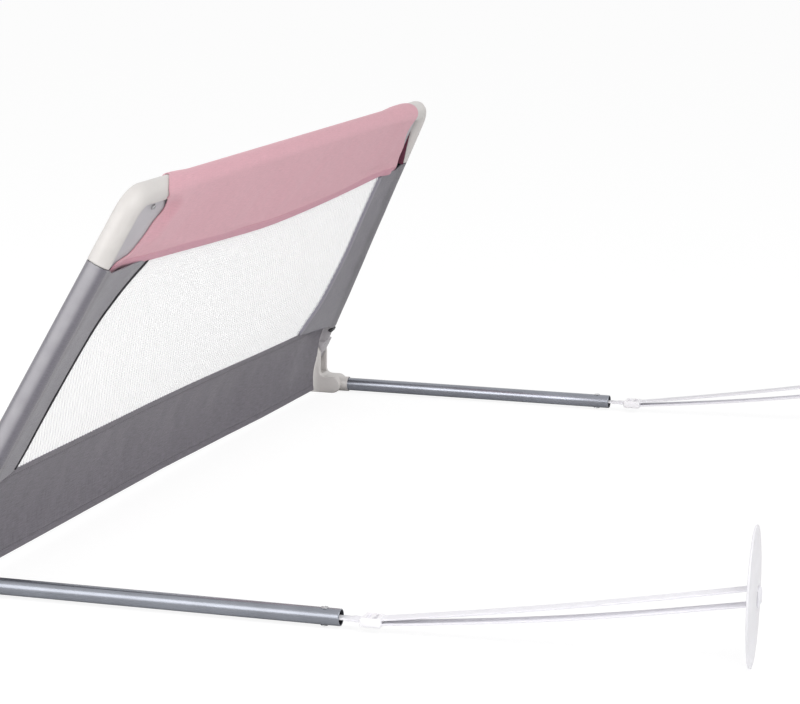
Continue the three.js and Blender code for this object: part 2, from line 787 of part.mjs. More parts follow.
function legFitting() {
  const half = forkSlot / 2 - gap;
  const eye = rod(eyeRadius, -half, half).rotateZ(Math.PI / 2).translate(halfBase, 0, 0);
  const shank = block(2 * half, bossStart + sink * 2, 2 * eyeRadius - sink)
    .translate(halfBase, bossStart / 2 + sink, 0);
  const boss = onUpright(turned([
    [0, bossStart],
    [bossRadius - bossChamfer, bossStart],
    [bossRadius, bossStart + bossChamfer],
    [bossRadius, bossEnd - bossChamfer],
    [bossRadius - bossChamfer, bossEnd],
    [frameRadius - frameWall - spigotGap, bossEnd],
    [frameRadius - frameWall - spigotGap, spigotEnd],
    [0, spigotEnd],
  ]));
  const hole = rod(pinRadius + gap, -bracketWidth, bracketWidth)
    .rotateZ(Math.PI / 2)
    .translate(halfBase, 0, 0);
  const depth = bossRadius + overrun - pocketFloor;
  const pocket = onUpright(plate(slotShape(buttonWidth, buttonHeight), depth)
    .translate(0, buttonPlace, pocketFloor + depth / 2));
  return cut(join(eye, shank, boss), hole, pocket);
}

function releaseButton() {
  const back = pocketFloor + springSolid + buttonTravel;
  const depth = bossRadius + buttonProud - back;
  return onUpright(plate(slotShape(buttonWidth - 2 * gap, buttonHeight - 2 * gap), depth, buttonEdge)
    .translate(0, buttonPlace, back + depth / 2));
}

// A coil with plain ends that pushes the button out of its pocket.
function buttonSpring() {
  const low = pocketFloor + gap + springWire;
  const high = pocketFloor + springSolid + buttonTravel - gap - springWire;
  const steps = springTurns * arcSteps;
  const points = Array.from({ length: steps + 1 }, (_, k) => {
    const turn = (2 * Math.PI * k) / arcSteps;
    const place = new THREE.Vector3(Math.cos(turn), Math.sin(turn), 0).multiplyScalar(springRadius);
    return place.setZ(low + ((high - low) * k) / steps);
  });
  const rings = points.map((p, k) => {
    const turn = (2 * Math.PI * k) / arcSteps;
    const out = new THREE.Vector3(Math.cos(turn), Math.sin(turn), 0);
    return Array.from({ length: wireSides }, (_, i) => {
      const around = (2 * Math.PI * i) / wireSides;
      return p.clone()
        .addScaledVector(out, springWire * Math.cos(around))
        .add(new THREE.Vector3(0, 0, springWire * Math.sin(around)));
    });
  });
  return onUpright(loft(rings).translate(0, buttonPlace, 0));
}

const rail = new THREE.Group();
const panel = new THREE.Group();
panel.rotation.x = Math.PI / 2 + lean;
panel.position.z = hingeHeight;
rail.add(panel);
const sides = { near: new THREE.Group(), far: new THREE.Group() };
sides.near.position.x = -halfBase;
sides.far.position.x = halfBase;
rail.add(sides.near, sides.far);

function place(group, name, geometry, key) {
  const mesh = new THREE.Mesh(outward(geometry), material(key));
  mesh.name = name;
  group.add(mesh);
}

// Adds a far piece and its mirror image on the near side.
function placePair(groups, name, geometry, key) {
  place(groups.far, `far_${name}`, geometry, key);
  place(groups.near, `near_${name}`, mirrored(geometry), key);
}

const panels = { near: panel, far: panel };
placePair(sides, 'base_bracket', baseBracket(), 'moulding');
placePair(sides, 'hinge_pin', hingePin(), 'rivet');
placePair(sides, 'arm_tube', armTubing(), 'steel');
placePair(sides, 'arm_screw', armScrew(), 'rivet');
placePair(sides, 'strap_rivet', strapRivet(), 'rivet');
placePair(sides, 'strap_neck', strapNeck(), 'webbing');
placePair(sides, 'strap_adjuster', adjuster(), 'plastic');
placePair(sides, 'strap_loop', strapLoop(), 'webbing');
placePair(sides, 'anchor_disc', anchorDisc(), 'plastic');
placePair(panels, 'leg_fitting', legFitting(), 'moulding');
placePair(panels, 'release_button', releaseButton(), 'button');
placePair(panels, 'button_spring', buttonSpring(), 'rivet');
placePair(panels, 'upright_tube', uprightTubing(), 'steel');
placePair(panels, 'corner_connector', cornerConnector(), 'moulding');
placePair(panels, 'connector_screw', connectorScrew(), 'rivet');
place(panel, 'top_tube', topTubing(), 'steel');
place(panel, 'top_cover', topCover(), 'cover');
place(panel, 'far_side_sleeve', sideSleeve(flares.far), 'grey');
place(panel, 'near_side_sleeve', mirrored(sideSleeve(flares.near)), 'grey');
place(panel, 'far_sleeve_piping', sleevePiping(flares.far), 'piping');
place(panel, 'near_sleeve_piping', mirrored(sleevePiping(flares.near)), 'piping');
place(panel, 'mesh_window', meshWindow(), 'net');
place(panel, 'lower_band', lowerBand(), 'grey');

// Puts the origin at the centre of the whole rail's box.
rail.updateMatrixWorld(true);
const box = new THREE.Box3().setFromObject(rail, true);
rail.position.y = -(box.min.y + box.max.y) / 2;
rail.updateMatrixWorld(true);

export default rail;
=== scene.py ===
# Looks of a folding bed guard rail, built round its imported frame. Metres, +Z up.
# X runs along the rail, the panel's inner face and the arms look towards -Y.
import json
import math

import bmesh
import bpy
import numpy as np
from mathutils import Matrix, Vector, noise

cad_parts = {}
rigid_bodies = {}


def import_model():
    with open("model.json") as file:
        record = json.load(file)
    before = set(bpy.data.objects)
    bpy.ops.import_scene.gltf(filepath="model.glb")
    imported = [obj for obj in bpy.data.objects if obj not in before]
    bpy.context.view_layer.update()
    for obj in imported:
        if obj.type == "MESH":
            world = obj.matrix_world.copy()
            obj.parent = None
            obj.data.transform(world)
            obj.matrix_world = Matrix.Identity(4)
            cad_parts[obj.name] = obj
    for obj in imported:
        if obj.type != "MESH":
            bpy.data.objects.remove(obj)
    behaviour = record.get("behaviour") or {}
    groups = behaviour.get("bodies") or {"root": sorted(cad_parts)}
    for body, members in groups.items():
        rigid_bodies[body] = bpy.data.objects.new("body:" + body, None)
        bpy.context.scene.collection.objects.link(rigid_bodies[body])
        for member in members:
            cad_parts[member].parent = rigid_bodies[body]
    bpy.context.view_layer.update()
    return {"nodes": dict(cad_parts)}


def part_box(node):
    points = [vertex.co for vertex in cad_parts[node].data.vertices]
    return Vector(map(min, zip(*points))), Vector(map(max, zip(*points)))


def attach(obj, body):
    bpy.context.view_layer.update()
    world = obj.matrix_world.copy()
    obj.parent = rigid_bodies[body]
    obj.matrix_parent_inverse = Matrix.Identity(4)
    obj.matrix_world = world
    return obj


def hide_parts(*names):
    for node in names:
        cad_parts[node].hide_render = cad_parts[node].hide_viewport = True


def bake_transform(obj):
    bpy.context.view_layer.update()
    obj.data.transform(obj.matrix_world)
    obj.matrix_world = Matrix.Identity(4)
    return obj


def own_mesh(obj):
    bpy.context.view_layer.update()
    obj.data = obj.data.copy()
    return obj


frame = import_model()

MM = 0.001
NEAR, FAR = -1, 1
SIDES = {"near": NEAR, "far": FAR}


def middle(node):
    low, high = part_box(node)
    return (low + high) / 2


# The frame's own places, in millimetres
HINGE = middle("far_hinge_pin") / MM
HALF_BASE = HINGE.x
ARM_HEIGHT = middle("far_arm_tube").z / MM
ARM_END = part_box("far_arm_tube")[0].y / MM
DISC = middle("far_anchor_disc") / MM
DISC_RADIUS = (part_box("far_anchor_disc")[1].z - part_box("far_anchor_disc")[0].z) / MM / 2
ADJUSTER_LOW, ADJUSTER_HIGH = (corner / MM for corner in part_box("far_strap_adjuster"))

# The panel: u along the rail, v up its slope from the hinge line, w out of its inner face
LEAN = math.radians(26)
PANEL_HEIGHT = 384
HALF_TOP = 495
SPLAY = math.atan2(HALF_BASE - HALF_TOP, PANEL_HEIGHT)
FRAME_RADIUS = 9.5
CONNECTOR_RADIUS = 12.2
ELBOW_END = 395
UP = Vector((0, -math.sin(LEAN), math.cos(LEAN)))
INWARD = Vector((0, -math.cos(LEAN), -math.sin(LEAN)))


def on_panel(u, v, w=0.0):
    return (Vector((u, HINGE.y, HINGE.z)) + UP * v + INWARD * w) * MM


def upright_axis(v):
    """The upright's distance from the rail's middle."""
    return HALF_BASE - v * math.tan(SPLAY)


# Camera, at the photograph's place and angle
SENSOR = 36
FOCAL_SHARE = 2956 / 800  # focal length in pixels, of the picture's width
CLIP_END = 50
YAW, PITCH, ROLL = (math.radians(x) for x in (73.182, 10.130, -0.681))
EYE = Vector((-3.1999, -1.2622 + HINGE.y * MM, 0.7643))


def add_camera():
    ahead = Vector((math.sin(YAW) * math.cos(PITCH), math.cos(YAW) * math.cos(PITCH), -math.sin(PITCH)))
    right = Vector((math.cos(YAW), -math.sin(YAW), 0))
    down = ahead.cross(right)
    right, down = (
        right * math.cos(ROLL) + down * math.sin(ROLL),
        down * math.cos(ROLL) - right * math.sin(ROLL),
    )
    data = bpy.data.cameras.new("camera")
    data.sensor_width, data.lens = SENSOR, SENSOR * FOCAL_SHARE
    data.clip_end = CLIP_END
    camera = bpy.data.objects.new("camera", data)
    turn = Matrix((right, -down, -ahead)).transposed().to_4x4()
    camera.matrix_world = Matrix.Translation(EYE) @ turn
    bpy.context.scene.collection.objects.link(camera)
    bpy.context.scene.camera = camera


# Node helpers
def add_node(tree, kind, values=None, **settings):
    node = tree.nodes.new("ShaderNode" + kind)
    for key, value in settings.items():
        setattr(node, key, value)
    for key, value in (values or {}).items():
        if isinstance(value, bpy.types.NodeSocket):
            tree.links.new(value, node.inputs[key])
        else:
            node.inputs[key].default_value = value
    return node


def new_material(name, roughness, metallic=0.0, specular=0.5, sheen=0.0):
    material = bpy.data.materials.new(name)
    material.use_nodes = True
    shader = material.node_tree.nodes["Principled BSDF"]
    shader.inputs["Roughness"].default_value = roughness
    shader.inputs["Metallic"].default_value = metallic
    shader.inputs["Specular IOR Level"].default_value = specular
    shader.inputs["Sheen Weight"].default_value = sheen
    return material, material.node_tree, shader


def maths(tree, operation, a, b=0.0):
    return add_node(tree, "Math", {0: a, 1: b}, operation=operation).outputs[0]


def mix_colours(tree, share, a, b):
    mixed = add_node(tree, "Mix", {"Factor": share, "A": a, "B": b}, data_type="RGBA")
    return mixed.outputs["Result"]


def ramp(tree, value, low, high, low_out=0.0, high_out=1.0):
    values = {"Value": value, "From Min": low, "From Max": high, "To Min": low_out, "To Max": high_out}
    return add_node(tree, "MapRange", values).outputs[0]


def shade(colour, factor):
    return (*(min(1.0, c * factor) for c in colour), 1.0)


def srgb(red, green, blue):
    """A colour as it is written for a screen, from 0 to 255, in linear light."""
    def linear(c):
        c /= 255
        return c / 12.92 if c <= 0.04045 else ((c + 0.055) / 1.055) ** 2.4
    return tuple(linear(c) for c in (red, green, blue))


# Woven cloth. The point attribute "cloth" holds each point's place on the flat cloth in metres, and as its
# third value how much of the painted shade's colour it has, or below zero, how much of the painted highlight's.
WEFT_SLUBS = 0.7
PATCH_SHADE = 0.6


def cloth_material(name, colour, streak, thread=0.9, mottle=0.1, bump=0.35, sheen=0.25, seam=None,
                   painted_highlight=None, rough=0.92, specular=0.15):
    """streak is how much its threads differ, thread their pitch in millimetres, and mottle its cloudiness."""
    material, tree, shader = new_material(name, rough, specular=specular, sheen=sheen)
    place = add_node(tree, "Attribute", attribute_name="cloth").outputs["Vector"]
    flat = add_node(tree, "SeparateXYZ", {0: place})
    place = add_node(tree, "VectorMath", {0: place, 1: (1, 1, 0)}, operation="MULTIPLY").outputs[0]
    pitch = math.tau / (thread * MM)
    warp = maths(tree, "SINE", maths(tree, "MULTIPLY", flat.outputs[0], pitch))
    weft = maths(tree, "SINE", maths(tree, "MULTIPLY", flat.outputs[1], pitch))
    weave = maths(tree, "MULTIPLY", warp, weft)

    def slub(along_x, along_y, detail=2.0):
        stretched = add_node(tree, "VectorMath", {0: place, 1: (along_x, along_y, 1)}, operation="MULTIPLY")
        return add_node(
            tree, "TexNoise", {"Vector": stretched.outputs[0], "Scale": 1.0, "Detail": detail}
        ).outputs[0]

    threads = maths(tree, "ADD", slub(60, 1100), maths(tree, "MULTIPLY", slub(1100, 60), WEFT_SLUBS))
    share = ramp(tree, threads, 0.55, 1.15)
    base = mix_colours(tree, share, shade(colour, 1 - streak), shade(colour, 1 + streak))
    patches = ramp(tree, slub(7, 7, 3.0), 0.3, 0.7)
    base = mix_colours(tree, maths(tree, "MULTIPLY", patches, mottle), base, shade(colour, PATCH_SHADE))
    # Painted shade: the seam colour darkens the hem band and the fold beside the sleeve's tube
    if seam:
        base = mix_colours(tree, flat.outputs[2], base, (*seam, 1.0))
    # Painted highlight: a lighter colour along the outer side of the sleeve's tube
    if painted_highlight:
        base = mix_colours(tree, maths(tree, "MULTIPLY", flat.outputs[2], -1), base, (*painted_highlight, 1.0))
    tree.links.new(base, shader.inputs["Base Color"])
    height = maths(tree, "ADD", maths(tree, "MULTIPLY", weave, 0.5), threads)
    relief = add_node(tree, "Bump", {"Height": height, "Strength": bump, "Distance": 0.2 * MM})
    tree.links.new(relief.outputs[0], shader.inputs["Normal"])
    uneven = ramp(tree, threads, 0.5, 1.2, rough + 0.05, rough - 0.07)
    tree.links.new(uneven, shader.inputs["Roughness"])
    return material


def object_noise(tree, scale, detail, stretch=None):
    place = add_node(tree, "TexCoord").outputs["Object"]
    if stretch:
        place = add_node(tree, "VectorMath", {0: place, 1: stretch}, operation="MULTIPLY").outputs[0]
    return add_node(tree, "TexNoise", {"Vector": place, "Scale": scale, "Detail": detail}).outputs[0]


# Moulded plastic with a fine grain, faint flow marks and slightly uneven gloss
FLOW_MARKS = 0.05
# How far the painted shade in corners and valleys reaches, and how dark it gets
CORNER_REACH = 14
CORNER_SHADE = 0.35


def plastic_material(name, colour, roughness=0.42, grain=0.06, painted_corner_shade=0.0):
    """occluded is how much painted shade darkens its corners and valleys."""
    material, tree, shader = new_material(name, roughness)
    flow = object_noise(tree, 14, 4.0, (1, 1, 2.5))
    pale, deep = shade(colour, 1 + FLOW_MARKS / 2), shade(colour, 1 - FLOW_MARKS)
    base = mix_colours(tree, ramp(tree, flow, 0.35, 0.65), deep, pale)
    # Painted shade: darker where nearby surfaces hem the surface in, in corners and valleys
    if painted_corner_shade:
        corners = add_node(tree, "AmbientOcclusion", {"Distance": CORNER_REACH * MM}, samples=8).outputs["AO"]
        share = ramp(tree, corners, 0.35, 0.95, painted_corner_shade, 0.0)
        base = mix_colours(tree, share, base, shade(colour, CORNER_SHADE))
    tree.links.new(base, shader.inputs["Base Color"])
    fine = object_noise(tree, 2200, 2.0)
    tree.links.new(ramp(tree, flow, 0.3, 0.7, roughness * 0.88, roughness * 1.12), shader.inputs["Roughness"])
    relief = add_node(tree, "Bump", {"Height": fine, "Strength": grain, "Distance": 0.1 * MM})
    tree.links.new(relief.outputs[0], shader.inputs["Normal"])
    return material


# Metal with fine marks, drawn out along Y unless stretch says otherwise, and faint cloudy tarnish
TARNISH = 0.12


def metal_material(name, colour, roughness, metallic=0.9, stretch=(900, 6, 900)):
    material, tree, shader = new_material(name, roughness, metallic)
    drawn = object_noise(tree, 1.0, 2.0, stretch)
    cloud = object_noise(tree, 22, 4.0)
    pale, deep = shade(colour, 1 + TARNISH / 3), shade(colour, 1 - TARNISH)
    base = mix_colours(tree, ramp(tree, cloud, 0.35, 0.7), deep, pale)
    tree.links.new(base, shader.inputs["Base Color"])
    spread = ramp(tree, drawn, 0.3, 0.7, roughness * 0.85, roughness * 1.25)
    tree.links.new(spread, shader.inputs["Roughness"])
    relief = add_node(tree, "Bump", {"Height": drawn, "Strength": 0.08, "Distance": 0.05 * MM})
    tree.links.new(relief.outputs[0], shader.inputs["Normal"])
    return material


def make_materials():
    materials = {
        "steel": metal_material("drawn_steel", srgb(143, 146, 154), roughness=0.27, metallic=0.8),
        "plated": metal_material("plated_steel", srgb(190, 190, 192), roughness=0.25, stretch=(300, 300, 300)),
        "moulding": plastic_material("grey_moulding", srgb(214, 210, 207), painted_corner_shade=0.5),
        "black": plastic_material("black_moulding", srgb(38, 38, 42), roughness=0.5, grain=0.15),
        "white": plastic_material("white_moulding", srgb(234, 233, 237), roughness=0.38),
        "pale": plastic_material("pale_moulding", srgb(247, 246, 249), roughness=0.45),
        "bore": metal_material("tube_bore", srgb(70, 71, 76), roughness=0.5, metallic=0.6),
        "leg": plastic_material("leg_moulding", srgb(172, 168, 172), painted_corner_shade=0.5),
        # The web is a darker copy of the grey moulding: painted shade on the recessed web
        "web": plastic_material("web_moulding_painted_shade", srgb(194, 191, 196), painted_corner_shade=0.12),
        # The pink weave's seam colour is painted shade over the doubled hem
        "pink": cloth_material("pink_weave", srgb(224, 171, 182), streak=0.09, mottle=0.06,
                               seam=srgb(208, 150, 166)),
        # A dark copy of the pink weave: painted shade in the crevice beside the far connector
        "tuck": cloth_material("pink_weave_painted_shade", srgb(104, 56, 72), streak=0.15, mottle=0.3, sheen=0.05),
        # The grey weave's seam colour is painted shade in the sleeve's fold, its second colour a painted highlight
        "grey": cloth_material("grey_weave", srgb(112, 109, 118), streak=0.16, mottle=0.1, rough=0.46, specular=0.5,
                               seam=srgb(66, 63, 71), painted_highlight=srgb(188, 186, 190)),
        "band": cloth_material("heather_weave", srgb(112, 108, 116), thread=1.1, streak=0.3, mottle=0.12),
        # One binding cloth in two copies: darker at the near flange as painted shade, lighter at the far one as
        # painted light
        "near_binding": cloth_material("binding_painted_shade", srgb(30, 28, 33), thread=0.7, streak=0.2, sheen=0.1),
        "far_binding": cloth_material("binding_painted_light", srgb(150, 147, 158), thread=0.7, streak=0.12),
        "net": cloth_material("net_thread", srgb(250, 249, 252), streak=0.03, mottle=0.02, sheen=0.1),
        "pink_thread": cloth_material("pink_thread", srgb(206, 138, 158), thread=0.3, streak=0.1),
        "grey_thread": cloth_material("grey_thread", srgb(92, 89, 96), thread=0.3, streak=0.1),
        "webbing": cloth_material("white_webbing", srgb(238, 237, 242), thread=1.6, streak=0.03, mottle=0.03,
                                  bump=0.25),
    }
    shader = materials["net"].node_tree.nodes["Principled BSDF"]
    shader.inputs["Subsurface Weight"].default_value = 0.8
    shader.inputs["Subsurface Radius"].default_value = (1, 1, 1)
    shader.inputs["Subsurface Scale"].default_value = 1.5 * MM
    return materials


# Mesh helpers
def new_object(name, points, faces, cloth=None):
    mesh = bpy.data.meshes.new(name)
    mesh.from_pydata([tuple(p) for p in points], [], faces)
    if cloth is not None:
        layer = mesh.attributes.new("cloth", "FLOAT_VECTOR", "POINT")
        layer.data.foreach_set("vector", np.asarray(cloth, np.float32).ravel())
    piece = bpy.data.objects.new(name, mesh)
    bpy.context.scene.collection.objects.link(piece)
    return piece


def faces_of_grid(rows, columns, wrap=False):
    """Quads between points that are listed row by row. wrap closes each row on itself."""
    faces = []
    for r in range(rows - 1):
        low, high = r * columns, (r + 1) * columns
        for c in range(columns if wrap else columns - 1):
            ahead = (c + 1) % columns
            faces.append((low + c, low + ahead, high + ahead, high + c))
    return faces


def baked(piece):
    """Applies the piece's modifiers to its mesh."""
    bpy.context.view_layer.update()
    mesh = bpy.data.meshes.new_from_object(piece.evaluated_get(bpy.context.evaluated_depsgraph_get()))
    piece.modifiers.clear()
    piece.data = mesh
    return piece


def smooth(piece, degrees=180):
    """Smooth shading, with edges over that angle kept sharp."""
    mesh = piece.data
    mesh.shade_smooth()
    if degrees < 180:
        mesh.set_sharp_from_angle(angle=math.radians(degrees))
    return piece


def paint(piece, material):
    piece.data.materials.clear()
    piece.data.materials.append(material)
    return piece


def outward(piece):
    """Merges doubled points and turns all faces out."""
    form = bmesh.new()
    form.from_mesh(piece.data)
    bmesh.ops.remove_doubles(form, verts=form.verts, dist=1e-6)
    bmesh.ops.recalc_face_normals(form, faces=form.faces)
    form.to_mesh(piece.data)
    form.free()
    return piece


def thickened(piece, thickness):
    """Gives a sheet its thickness, half to each side."""
    solid = piece.modifiers.new("thickness", "SOLIDIFY")
    solid.thickness, solid.offset = thickness * MM, 0
    solid.use_even_offset = True
    return baked(piece)


EDGE_DEGREES = 32


def copied(node, name):
    """A copy of a node's mesh as an object of its own."""
    piece = bpy.data.objects.new(name, frame["nodes"][node].data.copy())
    bpy.context.scene.collection.objects.link(piece)
    return outward(piece)


def dressed(node, material, body, soft_edge):
    """A copy of a rigid node with its edges rounded, which stands for it."""
    piece = copied(node, node + "_dressed")
    form = bmesh.new()
    form.from_mesh(piece.data)
    bmesh.ops.dissolve_limit(form, angle_limit=math.radians(0.5), verts=form.verts, edges=form.edges)
    form.to_mesh(piece.data)
    form.free()
    bevel = piece.modifiers.new("edges", "BEVEL")
    bevel.limit_method, bevel.angle_limit = "ANGLE", math.radians(EDGE_DEGREES)
    bevel.width, bevel.segments = soft_edge * MM, 3
    bevel.harden_normals = False
    baked(piece)
    smooth(piece, EDGE_DEGREES)
    paint(piece, material)
    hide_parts(node)
    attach(piece, body)
    return piece


def sheet_object(name, rows, material, cloth, thickness, painted_light_shares=None):
    """rows is a list of rows of (u, v, w) in the panel's millimetres, cloth holds each point's place on the
    flat cloth, and seams its share of the painted shade's colour, or below zero of the painted highlight's."""
    count = len(rows[0])
    points = [on_panel(*p) for row in rows for p in row]
    flat = [(a * MM, b * MM, 0) for row in cloth for a, b in row]
    if painted_light_shares:
        flat = [(a, b, seam) for (a, b, _), seam in zip(flat, (x for row in painted_light_shares for x in row))]
    piece = new_object(name, points, faces_of_grid(len(rows), count), flat)
    thickened(piece, thickness)
    outward(piece)
    return paint(smooth(piece, 60), material)


def curve_through(points, share):
    """A smooth value at a share of the way along a short list of points."""
    spans = len(points) - 1
    at = min(max(share, 0.0), 1.0) * spans
    k = min(int(at), spans - 1)
    t = at - k
    p = [np.array(points[min(max(k + d, 0), spans)], float) for d in (-1, 0, 1, 2)]
    return 0.5 * (
        2 * p[1] + (p[2] - p[0]) * t
        + (2 * p[0] - 5 * p[1] + 4 * p[2] - p[3]) * t * t
        + (3 * p[1] - p[0] - 3 * p[2] + p[3]) * t ** 3
    )


def ripple(u, v, scale, seed):
    """Smooth noise between about -1 and 1 over the panel."""
    return 2 * noise.noise(Vector((u / scale, v / scale, seed)))


# Fabric outlines on the panel, in millimetres
HEM = [(-560, 299), (-476, 296), (-291, 288), (-132, 281), (41, 275.5), (233, 279.5), (444, 290), (560, 300)]
COVER_ENDS = {
    NEAR: [
        (430, 380), (415, 374), (406, 370), (400, 366), (398, 358), (411, 346), (419, 333), (428, 323),
        (441, 313), (470, 306), (480, 296),
    ],
    FAR: [(442, 381), (440, 366), (450, 351), (467, 337), (479, 323), (488, 311), (493, 304), (497, 296)],
}
WRAP_ENDS = {NEAR: (430, 434, 424, 406, 397, 400), FAR: (442, 442, 438, 428, 412, 416)}
# Heights on the panel, and how far the cover's near end stands off the panel's plane there
NEAR_LAY = [(296, 4.1), (359, 4.1), (365, 4.6), (370, 6.0), (374, 8.6), (378, 11.6), (384, 13.1)]
CLOTH = 1.2
TUBE_WRAP = FRAME_RADIUS + 1.1 + CLOTH / 2
ELBOW_WRAP = CONNECTOR_RADIUS + 0.3 + CLOTH / 2
WEB_FACE = 3
LAYER_GAP = 0.95  # from the panel's plane to the middle of each of two layers


def drawn(outline):
    """The smooth line through an outline's points, in rising order of its second value."""
    line = np.array([curve_through(outline, s) for s in np.linspace(0, 1, 81)])
    return line if line[0, 1] < line[-1, 1] else line[::-1]


HEM_LINE = np.array([curve_through(HEM, s) for s in np.linspace(0, 1, 141)])
COVER_LINES = {side: drawn(outline) for side, outline in COVER_ENDS.items()}


def hem_height(u):
    return float(np.interp(u, HEM_LINE[:, 0], HEM_LINE[:, 1]))


def cover_end(side, v):
    """How far out the cover reaches at a height, from its end's outline."""
    line = COVER_LINES[side]
    return float(np.interp(v, line[:, 1], line[:, 0]))


def between(outline, place):
    """The second value of an outline's points at a place along their first."""
    return float(np.interp(place, [a for a, _ in outline], [b for _, b in outline]))


def eased(value, low, high):
    """From 0 at low to 1 at high, with soft ends."""
    share = min(max((value - low) / (high - low), 0.0), 1.0)
    return share * share * (3 - 2 * share)


def hump(value, place, width):
    """1 at a place, falling softly to 0 on both sides."""
    return math.exp(-(((value - place) / width) ** 2))


def wrap_radius(u):
    """The cover's radius round the top tube, wider where it laps over the elbows."""
    return TUBE_WRAP + (ELBOW_WRAP - TUBE_WRAP) * eased(abs(u), ELBOW_END - 60, ELBOW_END - 2)


SKIRT_ROWS, WRAP_ROWS, COVER_COLUMNS = 40, 22, 240
COVER_PITCH = 3.2  # cloth between two rows
HEM_FOLD = 10
HEM_MIDDLE = 276
TILT = math.asin((TUBE_WRAP - LAYER_GAP) / (PANEL_HEIGHT - HEM_MIDDLE))
TANGENT = PANEL_HEIGHT - TUBE_WRAP * math.sin(TILT)
SLACK_BROAD, SLACK_FINE = 1.3, 0.5
PUCKER, PUCKER_PLACE, PUCKER_WIDTH = 1.5, 17, 6  # above the hem
HEM_SWELL, HEM_SUNK, HEM_SUNK_WIDTH = 0.9, 0.45, 1.1  # the doubled hem, and its sewn line
FAR_LAP = 1.2  # the far end's height over the web
NEAR_EASE, FAR_EASE = (-38, -5), (-52, -22)  # where the front starts and ends to lie down, from its outlines


def skirt_lift(u, v):
    """How far the cover's front stands off the panel's plane."""
    down = min(max((TANGENT - v) / (TANGENT - hem_height(u)), 0.0), 1.0)
    radius = wrap_radius(u)
    w = LAYER_GAP + (radius * math.cos(TILT) - LAYER_GAP) * (1 - down)
    above = v - hem_height(u)
    loose = math.sin(math.pi * (1 - down)) ** 0.5 if 0 < down < 1 else 0.0
    w += loose * (SLACK_BROAD * ripple(u, v * 0.4, 105, 3.1) + SLACK_FINE * ripple(u, v, 33, 9.4))
    w += PUCKER * hump(above, PUCKER_PLACE, PUCKER_WIDTH) * ripple(u, 0, 120, 5.5)
    w += HEM_SWELL * math.sin(math.pi * min(max(above / HEM_FOLD, 0.0), 1.0)) ** 0.5
    w -= HEM_SUNK * hump(above, HEM_FOLD, HEM_SUNK_WIDTH)
    side = NEAR if u < 0 else FAR
    beyond = abs(u) - cover_end(side, v)
    w = max(w, LAYER_GAP)
    if side == NEAR:
        return w + (between(NEAR_LAY, v) - w) * eased(beyond, *NEAR_EASE)
    return w + max(0.0, WEB_FACE + FAR_LAP + 1.5 * down - w) * eased(beyond, *FAR_EASE)


def top_cover(materials):
    """One cloth: up the front from the hem, over the tube and down the back."""
    rows, cloth, painted_light_shares = [], [], []
    total = 2 * SKIRT_ROWS + WRAP_ROWS
    for r in range(total + 1):
        row, flat, seam = [], [], []
        for c in range(COVER_COLUMNS + 1):
            across = c / COVER_COLUMNS
            if SKIRT_ROWS <= r <= SKIRT_ROWS + WRAP_ROWS:
                around = (r - SKIRT_ROWS) / WRAP_ROWS
                ends = [float(curve_through([(x, 0) for x in WRAP_ENDS[side]], around)[0]) for side in (NEAR, FAR)]
                u = -ends[0] + (ends[0] + ends[1]) * across
                angle = -TILT + around * (math.pi + 2 * TILT)
                radius = wrap_radius(u)
                v = PANEL_HEIGHT + radius * math.sin(angle)
                w = radius * math.cos(angle)
                seam.append(0.0)
            else:
                front = r < SKIRT_ROWS
                step = r if front else total - r
                down = 1 - (step / SKIRT_ROWS) ** 1.25
                v = TANGENT
                for _ in range(4):
                    ends = cover_end(NEAR, v), cover_end(FAR, v)
                    u = -ends[0] + (ends[0] + ends[1]) * across
                    v = TANGENT + (hem_height(u) - TANGENT) * down
                w = skirt_lift(u, v) * (1 if front else -1)
                # Painted shade over the doubled hem, which lets less light through
                seam.append(1 - eased(v - hem_height(u), HEM_FOLD - 1, HEM_FOLD + 0.5))
            row.append((u, v, w))
            flat.append((u, r * COVER_PITCH))
        rows.append(row)
        cloth.append(flat)
        painted_light_shares.append(seam)
    piece = sheet_object("pink_cover", rows, materials["pink"], cloth, CLOTH, painted_light_shares)
    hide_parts("top_cover")
    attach(piece, "panel")
    return piece


# The cover's far end is tucked in against the connector's leg, as a dark strip of painted shade for the crevice
# there:
# (height, how far round the leg it comes)
TUCK = [(306, 10.6), (320, 8.7), (334, 6.4), (348, 4.2), (353, 3.6)]
TUCK_CLOTH = 0.7


def cover_shade_strip(materials):
    """The strip of the cover that shows beside the far connector's web, dark maroon as painted shade."""
    radius = CONNECTOR_RADIUS + 0.9
    rows, cloth = [], []
    for v in np.linspace(TUCK[0][0], TUCK[-1][0], 40):
        top = between(TUCK, v)
        line = np.linspace(WEB_FACE + 0.4, top, 9)
        inset = [math.sqrt(radius ** 2 - w ** 2) / math.cos(SPLAY) for w in line]
        rows.append([(upright_axis(v) - away, v, w) for away, w in zip(inset, line)])
        cloth.append([(w, v) for w in line])
    piece = sheet_object("pink_cover_tuck", rows, materials["tuck"], cloth, TUCK_CLOTH)
    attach(piece, "panel")
    return piece


